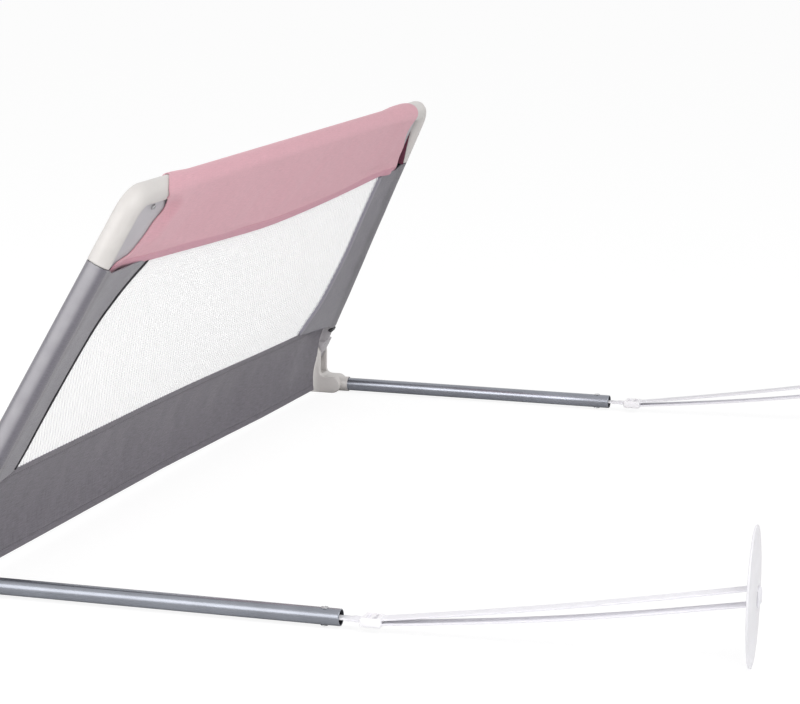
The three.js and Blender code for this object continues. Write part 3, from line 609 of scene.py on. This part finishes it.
# Side sleeves: (edge's distance from the upright's axis, height) from the band up to the hem
FLANGE_EDGES = {
    NEAR: [(82, 48), (87, 80), (87, 120), (90, 180), (97, 225), (112, 252), (130, 273), (153, 291)],
    FAR: [(133, 48), (115, 68), (89, 96), (74, 136), (65, 176), (64, 215), (63, 255), (60, 291)],
}
FLANGE_LINES = {side: drawn(outline) for side, outline in FLANGE_EDGES.items()}
SLEEVE_LOW, SLEEVE_HIGH = 49.3, 308.2
SLEEVE_ROWS, FLANGE_COLUMNS, SLEEVE_WRAP = 90, 26, 20
SLEEVE_PITCH = 4  # cloth between two columns
VALLEY, VALLEY_SHADE = 9, 0.62  # width and depth of the painted shade in the fold beside the tube
CROWN, CROWN_HIGHLIGHT, CROWN_UNEVEN = 0.72, 0.55, 0.06  # where the painted highlight along the tube's outer line starts, and its colour
BAND_TOP_NEAR, BAND_TOP_FAR = 61, 51.5


def band_top(u):
    return BAND_TOP_NEAR + (BAND_TOP_FAR - BAND_TOP_NEAR) * eased(u, -100, 500)


def flange_edge(side, v):
    """The flange's free edge, as a distance from the rail's middle."""
    line = FLANGE_LINES[side]
    return upright_axis(v) - float(np.interp(v, line[:, 1], line[:, 0]))


def sleeve_heights(side, u):
    """The sleeve's lowest and highest points at a place along the rail."""
    inner = abs(u)
    from_low, from_high = inner - upright_axis(SLEEVE_LOW), inner - upright_axis(SLEEVE_HIGH)
    flange_low = band_top(side * inner)
    flange_high = min(hem_height(side * inner) + 4, SLEEVE_HIGH)
    tube_low = SLEEVE_LOW + from_low * math.tan(SPLAY)
    tube_high = SLEEVE_HIGH + from_high * math.tan(SPLAY)
    low = flange_low + (tube_low - flange_low) * eased(from_low, -TUBE_WRAP - 14, -TUBE_WRAP)
    return low, flange_high + (tube_high - flange_high) * eased(from_high, -TUBE_WRAP - 10, -TUBE_WRAP)


def side_sleeve(name, side, materials):
    """One cloth: in from the flange's edge, round the upright and back to the edge."""
    columns = 2 * FLANGE_COLUMNS + SLEEVE_WRAP
    rows, cloth, painted_light_shares = [], [], []
    for r in range(SLEEVE_ROWS + 1):
        rise = r / SLEEVE_ROWS
        row, flat, seam = [], [], []
        for c in range(columns + 1):
            v = SLEEVE_LOW + (SLEEVE_HIGH - SLEEVE_LOW) * rise
            for _ in range(4):
                edge, axis = flange_edge(side, v), upright_axis(v)
                tilt = math.asin((TUBE_WRAP - LAYER_GAP) / (axis - edge))
                if c < FLANGE_COLUMNS or c > FLANGE_COLUMNS + SLEEVE_WRAP:
                    k = c if c < FLANGE_COLUMNS else columns - c
                    face = 1 if c < FLANGE_COLUMNS else -1
                    share = k / FLANGE_COLUMNS
                    inner = edge + (axis - TUBE_WRAP * math.sin(tilt) - edge) * share
                    w = face * (LAYER_GAP + (TUBE_WRAP * math.cos(tilt) - LAYER_GAP) * share)
                    slack = math.sin(math.pi * share) * math.sin(math.pi * rise) ** 0.3
                    w += face * slack * (0.8 * ripple(inner, v * 2.2, 60, 17.3 + side) - 0.6)
                else:
                    angle = math.pi / 2 + tilt - (c - FLANGE_COLUMNS) / SLEEVE_WRAP * (math.pi + 2 * tilt)
                    loose = TUBE_WRAP + 0.35 * max(0, ripple(angle * 20, v, 38, 4.0 + side))
                    inner = axis + loose * math.cos(angle)
                    w = loose * math.sin(angle)
                low, high = sleeve_heights(side, inner)
                v = low + (high - low) * rise
            row.append((side * inner, v, w))
            flat.append((c * SLEEVE_PITCH, v))
            # Painted shade in the fold beside the tube, less a painted highlight along the tube's outer side
            outer = (inner - upright_axis(v)) / TUBE_WRAP
            painted_highlight = eased(outer, CROWN, 1.0) * (CROWN_HIGHLIGHT + CROWN_UNEVEN * ripple(v, 0, 14, side))
            seam.append(VALLEY_SHADE * hump(upright_axis(v) - inner, TUBE_WRAP, VALLEY) - painted_highlight)
        rows.append(row)
        cloth.append(flat)
        painted_light_shares.append(seam)
    piece = sheet_object(f"{name}_sleeve", rows, materials["grey"], cloth, CLOTH, painted_light_shares)
    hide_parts(f"{name}_side_sleeve")
    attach(piece, "panel")
    return piece


def swept(name, spine, section, axis, material, widths=None):
    """A closed bar through points in millimetres. The section's first value lies along the axis, and is
    multiplied by the width there."""
    points, cloth, run = [], [], 0.0
    widths = widths or [1.0] * len(spine)
    for k, (p, width) in enumerate(zip(spine, widths)):
        before, after = spine[max(k - 1, 0)], spine[min(k + 1, len(spine) - 1)]
        over = axis.cross(after - before).normalized()
        run += (p - before).length
        around = 0.0
        for i, (a, b) in enumerate(section):
            around += math.dist(section[i - 1], (a, b)) if i else 0.0
            points.append((p + axis * a * width + over * b) * MM)
            cloth.append((around * width * MM, run * MM, 0))
    count = len(section)
    faces = faces_of_grid(len(spine), count, wrap=True)
    faces += [tuple(reversed(range(count))), tuple(range((len(spine) - 1) * count, len(spine) * count))]
    piece = new_object(name, points, faces, cloth)
    outward(piece)
    return paint(smooth(piece, 50), material)


# The flange's edge binding: a folded tape, thin at its inner edge and full at its outer one
BINDING = [
    (-2.5, -4.3), (-2.8, -3.8), (-2.7, -1.5), (-2.4, 1.5), (-2.1, 2.9), (-1.2, 3.6), (1.2, 3.6), (2.1, 2.9),
    (2.4, 1.5), (2.7, -1.5), (2.8, -3.8), (2.5, -4.3),
]


def sleeve_piping(name, side, materials):
    low, high = band_top(side * 450) + 1, hem_height(side * 400) + 1
    spine = []
    for k in range(121):
        v = low + (high - low) * k / 120
        spine.append(on_panel(side * (flange_edge(side, v) + 1.5), v) / MM)
    # The near flange's binding takes the painted shade copy, the far one's the painted light copy
    piece = swept(f"{name}_piping", spine, BINDING, INWARD * side, materials[f"{name}_binding"])
    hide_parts(f"{name}_sleeve_piping")
    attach(piece, "panel")


# Net: threads that cross slantwise round small gaps, between the two flanges, the band and the hem
NET_LENGTH, NET_HEIGHT = 940, 232
NET_STEP = 3.75
NET_OPEN = 0.86  # a gap's size, of the room between its knots
NET_THICK = 0.42
NET_UNDER = 4.5  # how far it runs under the flanges


def window_net(materials):
    """Points where i + j is even are knots, and each other point is the middle of a gap."""
    columns, rows = round(NET_LENGTH / NET_STEP), round(NET_HEIGHT / NET_STEP)

    def place(i, j):
        across, up = i / columns, j / rows
        v = 170
        for _ in range(3):
            left, right = -flange_edge(NEAR, v) - NET_UNDER, flange_edge(FAR, v) + NET_UNDER
            u = left + (right - left) * across
            low, high = band_top(u) - 2, hem_height(u) + 5
            v = low + (high - low) * up
        return np.array((u, v, 0.25 * ripple(u, v, 120, 2.2)))

    knots = [(i, j) for j in range(rows + 1) for i in range(columns + 1) if (i + j) % 2 == 0]
    index = {knot: n for n, knot in enumerate(knots)}
    points = [place(i, j) for i, j in knots]
    faces = []
    for j in range(rows + 1):
        for i in range(columns + 1):
            if (i + j) % 2 == 0:
                continue
            ring = [index[k] for k in ((i + 1, j), (i, j + 1), (i - 1, j), (i, j - 1)) if k in index]
            if len(ring) < 4:
                faces.append(tuple(ring))
                continue
            centre = place(i, j)
            start = len(points)
            points += [centre + (points[n] - centre) * NET_OPEN for n in ring]
            faces += [(ring[k], ring[(k + 1) % 4], start + (k + 1) % 4, start + k) for k in range(4)]
    world = [on_panel(*p) for p in points]
    piece = new_object("window_net", world, faces, [(p[0] * MM, p[1] * MM, 0) for p in points])
    thickened(piece, NET_THICK)
    outward(piece)
    paint(smooth(piece, 60), materials["net"])
    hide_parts("mesh_window")
    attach(piece, "panel")
    return piece


# Lower band: down the slope to the hinge line, and then down to just above the floor
BAND_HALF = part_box("lower_band")[1].x / MM
BAND_ROWS, BAND_COLUMNS = 60, 240
BAND_WIDE = 104  # from its top edge to its hanging hem
BAND_BEND = 35
BAND_CLOTH = 1.8
BAND_SEAMS = (0.07, 0.93)
SEAM_SUNK, SEAM_WIDTHS = 0.4, (0.012, 0.01)
BAND_BULGE, BAND_BULGE_WIDTH = 4.5, 0.24  # at the hinge line, towards the far end
# Along the rail: the hanging hem's height above the floor, and how far it hangs forward
BAND_FOOT = [(-552, 7.6), (0, 7.6), (200, 5.6), (350, 4.4), (552, 4.2)]
BAND_SWING = [(-552, 0), (0, 0), (200, 1.5), (350, 3.5), (552, 5)]


def band_point(u, share):
    """A point of the band from its top edge, share 0, to its hanging hem, share 1, and the way that it faces."""
    top = band_top(u)
    swing = between(BAND_SWING, u)
    foot = Vector((0, -swing, between(BAND_FOOT, u) - HINGE.z))
    down = foot.normalized()
    hung = Vector((0, down.z, -down.y))
    run = share * (top + foot.length)
    if run < top - BAND_BEND:
        return UP * (top - run), INWARD
    if run > top + BAND_BEND:
        return down * (run - top), hung
    t = (run - top + BAND_BEND) / (2 * BAND_BEND)
    place = UP * BAND_BEND * (1 - t) ** 2 + down * BAND_BEND * t ** 2
    return place, (INWARD * (1 - t) + hung * t).normalized()


def band_surface(u, share):
    """The band's middle in millimetres, with its soft waves and the two sunk lines of its hems."""
    place, out = band_point(u, share)
    hang = math.sin(math.pi * share) ** 0.6 * (1 - abs(u / BAND_HALF) ** 8)
    bulge = 1.2 * ripple(u, share * 40, 150, 6.1) * hang + 0.5 * ripple(u, share * 90, 37, 8.8) * hang
    bulge += BAND_BULGE * eased(u, 220, BAND_HALF) * hump(share, 0.5, BAND_BULGE_WIDTH)
    sunk = sum(SEAM_SUNK * hump(share, seam, width) for seam, width in zip(BAND_SEAMS, SEAM_WIDTHS))
    return Vector((u, HINGE.y, HINGE.z)) + place + out * (bulge - sunk + SEAM_SUNK), out


def lower_band(materials):
    points, cloth = [], []
    for r in range(BAND_ROWS + 1):
        share = r / BAND_ROWS
        for c in range(BAND_COLUMNS + 1):
            u = BAND_HALF * (2 * c / BAND_COLUMNS - 1)
            points.append(band_surface(u, share)[0] * MM)
            cloth.append((u * MM, share * BAND_WIDE * MM, 0))
    piece = new_object("heather_band", points, faces_of_grid(BAND_ROWS + 1, BAND_COLUMNS + 1), cloth)
    thickened(piece, BAND_CLOTH)
    outward(piece)
    paint(smooth(piece, 60), materials["band"])
    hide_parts("lower_band")
    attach(piece, "panel")
    return piece


# Stitches: short rounded threads laid along a line
STITCH_LENGTH, STITCH_PITCH, STITCH_RADIUS = 3.6, 5.2, 0.32
STITCH_SIDES = 6
HEM_STITCHED = (-450, 480)  # the hem's stitched length along the rail
STITCH_SWELL = [(0.0, 0.25), (0.12, 0.8), (0.5, 1.0), (0.88, 0.8), (1.0, 0.25)]  # (place along it, share of radius)


def stitching(name, line, material):
    """line is a list of (point, outward normal) in metres."""
    points, cloth, faces = [], [], []
    length, radius, sides, rings = STITCH_LENGTH, STITCH_RADIUS, STITCH_SIDES, len(STITCH_SWELL)
    lengths = [0.0]
    for (a, _), (b, _) in zip(line, line[1:]):
        lengths.append(lengths[-1] + (b - a).length)
    count = int(lengths[-1] / (STITCH_PITCH * MM))

    def at(s):
        k = min(max(int(np.searchsorted(lengths, s)) - 1, 0), len(line) - 2)
        t = (s - lengths[k]) / max(lengths[k + 1] - lengths[k], 1e-9)
        return line[k][0].lerp(line[k + 1][0], t), line[k][1]

    for n in range(count):
        run = (n + 0.5) * STITCH_PITCH * MM
        (a, normal), (b, _) = at(run - length * MM / 2), at(run + length * MM / 2)
        along = (b - a).normalized()
        side = normal.cross(along).normalized()
        start = len(points)
        for e, s in STITCH_SWELL:
            for i in range(sides):
                turn = math.tau * i / sides
                lift = normal * (math.sin(turn) * radius * s + radius * s * 0.6) * MM
                points.append(a.lerp(b, e) + side * math.cos(turn) * radius * s * MM + lift)
                cloth.append((e * length * MM, i * 0.3 * MM, 0))
        faces += [tuple(start + i for i in face) for face in faces_of_grid(rings, sides, wrap=True)]
        faces.append(tuple(start + i for i in reversed(range(sides))))
        faces.append(tuple(start + (rings - 1) * sides + i for i in range(sides)))
    piece = new_object(name, points, faces, cloth)
    outward(piece)
    paint(smooth(piece), material)
    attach(piece, "panel")


# Straps: flat webbing with rounded edges and woven ridges
STRAP = 18
NECK = 13.2  # width where it is pinched inside the arm
STRAP_THICK = 1.9
STRAND_SPREAD = 15  # between the two strands at the disc
STRAP_TAIL = 30  # how far the strap runs into the arm
NECK_WAVE = 0.36
NECK_RISE = 2.1  # at the adjuster's bar
STRAND_LIFT, STRAND_DROP = 2.2, 2.0  # of the two strands at the adjuster, from the arm's axis
STRAND_SAGS = (2.6, 4.4)  # of the upper and lower strands
STRAND_LAP = 6  # how far the strands run into the adjuster
STRAND_END = 6  # from the disc's middle to the strands' ends
LOOP_FLAT = 2  # the loop's straight part on each side of the disc's middle
LOOP_BACK, LOOP_ROUND = 3.5, 0.7  # from the disc's middle to the loop's back, and how round that is
RIDGES = [
    (-1, 0), (-0.985, 0.7), (-0.93, 1), (-0.6, 0.9), (0, 1), (0.6, 0.9), (0.93, 1), (0.985, 0.7),
    (1, 0), (0.985, -0.7), (0.93, -1), (0.6, -0.9), (0, -1), (-0.6, -0.9), (-0.93, -1), (-0.985, -0.7),
]
ACROSS = Vector((1, 0, 0))


def webbing_strap(name, spine, widths, materials):
    section = [(a / 2, b * STRAP_THICK / 2) for a, b in RIDGES]
    return swept(name, spine, section, ACROSS, materials["webbing"], widths)


def strap_neck(name, x, materials):
    """One thickness, from inside the arm to the adjuster's bar."""
    start, stop = ARM_END + STRAP_TAIL, ADJUSTER_HIGH.y
    middle_y = (ADJUSTER_LOW.y + ADJUSTER_HIGH.y) / 2
    spine, widths = [], []
    for k in range(41):
        t = k / 40
        y = start + (middle_y - start) * t
        inside = min(max((ARM_END - y) / (ARM_END - stop), 0.0), 1.0)
        pinch = 0.5 - 0.5 * math.cos(math.pi * inside)
        z = ARM_HEIGHT + NECK_WAVE * math.sin(math.pi * inside) * math.sin(4 * math.pi * inside)
        z += NECK_RISE * max(0.0, (stop - 2 - y) / (stop - 2 - middle_y))
        spine.append(Vector((x, y, z)))
        widths.append(NECK + (STRAP - NECK) * pinch)
    neck = webbing_strap(f"{name}_strap_single", spine, widths, materials)
    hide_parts(f"{name}_strap_neck")
    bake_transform(neck)


def strand(x, start, stop, sag):
    """61 points from one (y, z) to another, with a sag between them."""
    points = []
    for k in range(61):
        t = k / 60
        y, z = (a + (b - a) * t for a, b in zip(start, stop))
        points.append(Vector((x, y, z - sag * math.sin(math.pi * t))))
    return points


def strap_loop(name, x, materials):
    """Two strands, from the adjuster through the disc's slots and back."""
    low, high = DISC.z - STRAND_SPREAD / 2, DISC.z + STRAND_SPREAD / 2
    first, last = ADJUSTER_LOW.y + STRAND_LAP, DISC.y + STRAND_END
    spine = strand(x, (first, ARM_HEIGHT + STRAND_LIFT), (last, high), STRAND_SAGS[0])
    spine += [Vector((x, DISC.y + LOOP_FLAT, high)), Vector((x, DISC.y - LOOP_FLAT, high))]
    for k in range(9):
        turn = math.pi * k / 8
        y = DISC.y - LOOP_BACK - LOOP_ROUND * math.sin(turn)
        spine.append(Vector((x, y, DISC.z + STRAND_SPREAD / 2 * math.cos(turn))))
    spine += [Vector((x, DISC.y - LOOP_FLAT, low)), Vector((x, DISC.y + LOOP_FLAT, low))]
    spine += strand(x, (last, low), (first, ARM_HEIGHT - STRAND_DROP), STRAND_SAGS[1])
    loop = webbing_strap(f"{name}_strap_double", spine, [STRAP] * len(spine), materials)
    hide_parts(f"{name}_strap_loop")
    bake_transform(loop)


# Turned pieces, and cuts
def turned(name, profile, steps, centre, axis, material):
    """profile is a list of (radius, place along the axis), from axis to axis, in millimetres."""
    axis = Vector(axis).normalized()
    side = axis.orthogonal().normalized()
    top = axis.cross(side)
    points, cloth = [], []
    for radius, along in profile:
        for k in range(steps):
            turn = math.tau * k / steps
            ray = side * math.cos(turn) + top * math.sin(turn)
            points.append((Vector(centre) + axis * along + ray * radius) * MM)
            cloth.append((turn * radius * MM, along * MM, 0))
    faces = faces_of_grid(len(profile), steps, wrap=True)
    piece = new_object(name, points, faces, cloth)
    outward(piece)
    form = bmesh.new()
    form.from_mesh(piece.data)
    bmesh.ops.dissolve_degenerate(form, dist=1e-7, edges=form.edges)
    bmesh.ops.recalc_face_normals(form, faces=form.faces)
    form.to_mesh(piece.data)
    form.free()
    return paint(smooth(piece, 40), material)


def cut_with(piece, tools):
    for tool in tools:
        cutter = piece.modifiers.new("cut", "BOOLEAN")
        cutter.operation, cutter.object, cutter.solver = "DIFFERENCE", tool, "EXACT"
        baked(piece)
        bpy.data.objects.remove(tool)


def box_tool(sizes, centre, turn):
    halves = [size / 2 for size in sizes]
    signs = [(a, b, c) for a in (-1, 1) for b in (-1, 1) for c in (-1, 1)]
    points = [turn @ Vector([sign * half for sign, half in zip(corner, halves)]) for corner in signs]
    faces = [(0, 1, 3, 2), (4, 6, 7, 5), (0, 4, 5, 1), (2, 3, 7, 6), (0, 2, 6, 4), (1, 5, 7, 3)]
    tool = new_object("tool", [(Vector(centre) + p) * MM for p in points], faces)
    return outward(tool)


# Anchor disc, with its two slots cut through
DISC_TWIST = math.radians(5)
DISC_EDGE = 67
DISC_PROFILE = [
    (0, 2.0), (9, 2.1), (13.0, 2.5), (14.2, 2.7), (15.5, 2.5), (17, 2.35), (30, 2.0), (45, 1.3), (58, 0.35),
    (63.5, -0.2), (65.6, -0.25), (66.6, -0.55), (DISC_EDGE, -1.3), (66.9, -2.0), (66.3, -2.5), (65.3, -2.7),
    (50, -2.7), (20, -2.7), (0, -2.7),
]
DISC_SLOT = (23, 22, 4.2)  # wide, deep and high


def anchor_disc(name, side, materials):
    centre = Vector((side * HALF_BASE, DISC.y, middle(f"{name}_anchor_disc").z / MM))
    axis = Vector((math.sin(DISC_TWIST) * -side, -math.cos(DISC_TWIST), 0))
    scale = DISC_RADIUS / DISC_EDGE
    profile = [(r * scale, along) for r, along in DISC_PROFILE]
    piece = turned(f"{name}_disc_shell", profile, 128, centre, axis, materials["white"])
    turn = Matrix.Rotation(DISC_TWIST * -side, 3, "Z")
    slots = [centre + Vector((0, 0, way * STRAND_SPREAD / 2)) for way in (-1, 1)]
    cut_with(piece, [box_tool(DISC_SLOT, slot, turn) for slot in slots])
    smooth(piece, 40)
    paint(piece, materials["white"])
    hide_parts(f"{name}_anchor_disc")
    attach(piece, f"{name}_disc")


# Arms: a drawn tube with an open end
ARM_OUTER, ARM_INNER = 8.5, 7.3


def arm_tube(name, side, materials):
    low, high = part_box(f"{name}_arm_tube")
    length = (high.y - low.y) / MM
    outer, inner = ARM_OUTER, ARM_INNER
    profile = [
        (inner, 0.5), (inner + 0.25, 0.12), ((inner + outer) / 2, 0), (outer - 0.25, 0.12), (outer, 0.5),
        (outer, 1.2), (outer, length), (inner, length), (inner, 1.2), (inner, 0.5),
    ]
    start = (side * HALF_BASE, low.y / MM, ARM_HEIGHT)
    piece = turned(f"{name}_arm", profile, 64, start, (0, 1, 0), materials["steel"])
    piece.data.materials.append(materials["bore"])
    for face in piece.data.polygons:
        away = math.hypot(face.center.x - side * HALF_BASE * MM, face.center.z - ARM_HEIGHT * MM)
        face.material_index = int(away < (inner + 0.4) * MM)
    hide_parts(f"{name}_arm_tube")
    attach(piece, "base")


RIVET_HEAD = [
    (0, 0.8), (1.3, 0.8), (1.9, 0.35), (2.4, 0.3), (2.9, 0.85), (3.5, 0.7), (4.0, 0.1), (3.8, -0.4), (2, -0.8),
]


def rivet(name, materials):
    """A rivet through the arm, with the same grooved head on both sides."""
    centre = middle(f"{name}_strap_rivet") / MM
    profile = RIVET_HEAD + [(radius, -2 * ARM_OUTER - along) for radius, along in reversed(RIVET_HEAD)]
    place = (centre.x, centre.y, ARM_HEIGHT + ARM_OUTER)
    piece = turned(f"{name}_rivet", profile, 32, place, (0, 0, 1), materials["plated"])
    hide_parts(f"{name}_strap_rivet")
    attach(piece, "base")


def corner_connector(name, materials):
    """The elbow, with its flat web a little darker, as painted shade."""
    piece = dressed(f"{name}_corner_connector", materials["moulding"], "panel", 0.9)
    piece.data.materials.append(materials["web"])
    for face in piece.data.polygons:
        lifts = [(piece.data.vertices[v].co / MM - HINGE).dot(INWARD) for v in face.vertices]
        face.material_index = int(max(abs(lift) for lift in lifts) < WEB_FACE + 0.2)


SCREW_TOP = 4.3  # from the screw's middle
RECESS_LONG, RECESS_WIDE, RECESS_DEEP = 3.6, 0.8, 2.4


def connector_screw(name, materials):
    """A pan head with a cross recess."""
    low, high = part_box(f"{name}_connector_screw")
    piece = dressed(f"{name}_connector_screw", materials["plated"], "panel", 0.35)
    centre = (low + high) / 2 / MM
    tip = centre + INWARD * SCREW_TOP
    turn = Matrix((Vector((1, 0, 0)), UP, INWARD)).transposed()
    bars = [(RECESS_LONG, RECESS_WIDE, RECESS_DEEP), (RECESS_WIDE, RECESS_LONG, RECESS_DEEP)]
    parent = piece.parent
    piece.parent = None
    cut_with(piece, [box_tool(bar, tip, turn) for bar in bars])
    piece.parent = parent
    smooth(piece, 30)
    paint(piece, materials["plated"])


def spring_coil(name, materials):
    """The coil behind a release button."""
    piece = copied(f"{name}_button_spring", f"{name}_spring_coil")
    paint(smooth(piece, 60), materials["plated"])
    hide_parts(f"{name}_button_spring")
    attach(piece, "panel")
    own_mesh(piece)


# Floor and light
FLOOR_GLOW, FLOOR_SEEN = 1.08, 0.8  # the floor's glow, and its share in what the camera sees
ROOM_LIGHT = 0.57  # what the white room gives, against how it looks


def add_floor():
    bpy.ops.mesh.primitive_plane_add(size=60)
    floor = bpy.context.object
    floor.name = "floor"
    material, tree, shader = new_material("floor_white", roughness=0.9, specular=0.0)
    shader.inputs["Base Color"].default_value = (0.93, 0.93, 0.93, 1)
    path = add_node(tree, "LightPath")
    glow = add_node(tree, "Emission", {"Color": (1, 1, 1, 1), "Strength": FLOOR_GLOW})
    seen = maths(tree, "MULTIPLY", path.outputs["Is Camera Ray"], FLOOR_SEEN)
    mixed = add_node(tree, "MixShader", {0: seen, 1: shader.outputs[0], 2: glow.outputs[0]})
    tree.links.new(mixed.outputs[0], tree.nodes["Material Output"].inputs[0])
    floor.data.materials.append(material)


def add_lamp(name, place, size, power, target=(0, 0, 0.15)):
    """A lamp that faces its target. All in metres and watts."""
    data = bpy.data.lights.new(name, "AREA")
    data.shape, data.size, data.size_y, data.energy = "RECTANGLE", size[0], size[1], power
    lamp = bpy.data.objects.new(name, data)
    lamp.location = place
    lamp.rotation_euler = (Vector(target) - Vector(place)).to_track_quat("-Z", "Y").to_euler()
    bpy.context.scene.collection.objects.link(lamp)
    return lamp


def add_light():
    world = bpy.data.worlds.new("studio")
    world.use_nodes = True
    tree = world.node_tree
    path = add_node(tree, "LightPath")
    direct = maths(tree, "MAXIMUM", path.outputs["Is Camera Ray"], path.outputs["Is Glossy Ray"])
    direct = maths(tree, "MAXIMUM", direct, path.outputs["Is Transmission Ray"])
    strength = ramp(tree, direct, 0, 1, ROOM_LIGHT, 1.0)
    tree.nodes["Background"].inputs["Color"].default_value = (1, 1, 1, 1)
    tree.links.new(strength, tree.nodes["Background"].inputs["Strength"])
    bpy.context.scene.world = world
    add_lamp("key", (-2.0, -1.8, 3.0), (2.4, 2.4), 66)
    add_lamp("rim", (-1.6, 2.8, 1.8), (2.2, 1.4), 22)
    add_lamp("side", (-4.2, 1.1, 1.0), (2.4, 0.8), 26, (0, 0, 0.1)).visible_glossy = False
    # These two only show in gloss. The card stands beside the far arm, which the panel hides from the window.
    add_lamp("window", (-4.6, 1.9, 1.7), (2.6, 3.2), 68, (0.4, 0.2, 0)).visible_diffuse = False
    add_lamp("card", (0.455, 0.225, 0.06), (0.36, 0.075), 0.22, (0.575, 0.225, 0.04)).visible_diffuse = False
    bpy.context.scene.view_settings.view_transform = "Standard"


add_camera()
materials = make_materials()
cover = top_cover(materials)
tuck = cover_shade_strip(materials)
band = lower_band(materials)
net = window_net(materials)
for side_name, side_sign in SIDES.items():
    side_sleeve(side_name, side_sign, materials)
    sleeve_piping(side_name, side_sign, materials)
    strap_neck(side_name, side_sign * HALF_BASE, materials)
    strap_loop(side_name, side_sign * HALF_BASE, materials)
    anchor_disc(side_name, side_sign, materials)
    arm_tube(side_name, side_sign, materials)
    rivet(side_name, materials)
    dressed(f"{side_name}_base_bracket", materials["moulding"], "base", 0.9)
    dressed(f"{side_name}_hinge_pin", materials["plated"], "base", 0.3)
    dressed(f"{side_name}_arm_screw", materials["plated"], "base", 0.3)
    dressed(f"{side_name}_leg_fitting", materials["leg"], "panel", 0.7)
    corner_connector(side_name, materials)
    dressed(f"{side_name}_release_button", materials["black"], f"{side_name}_button", 0.4)
    dressed(f"{side_name}_strap_adjuster", materials["pale"], f"{side_name}_adjuster", 0.7)
    connector_screw(side_name, materials)
    spring_coil(side_name, materials)
    paint(frame["nodes"][f"{side_name}_upright_tube"], materials["steel"])
paint(frame["nodes"]["top_tube"], materials["steel"])
hem_line = []
for u in np.linspace(*HEM_STITCHED, 160):
    v = hem_height(u) + HEM_FOLD
    hem_line.append((on_panel(u, v, skirt_lift(u, v) + CLOTH / 2), INWARD))
stitching("hem_stitches", hem_line, materials["pink_thread"])
for piece_name, share in zip(("band_top_stitches", "band_foot_stitches"), BAND_SEAMS):
    surfaces = [band_surface(u, share) for u in np.linspace(4 - BAND_HALF, BAND_HALF - 4, 200)]
    band_line = [((place + out * BAND_CLOTH / 2) * MM, out) for place, out in surfaces]
    stitching(piece_name, band_line, materials["grey_thread"])
add_floor()
add_light()
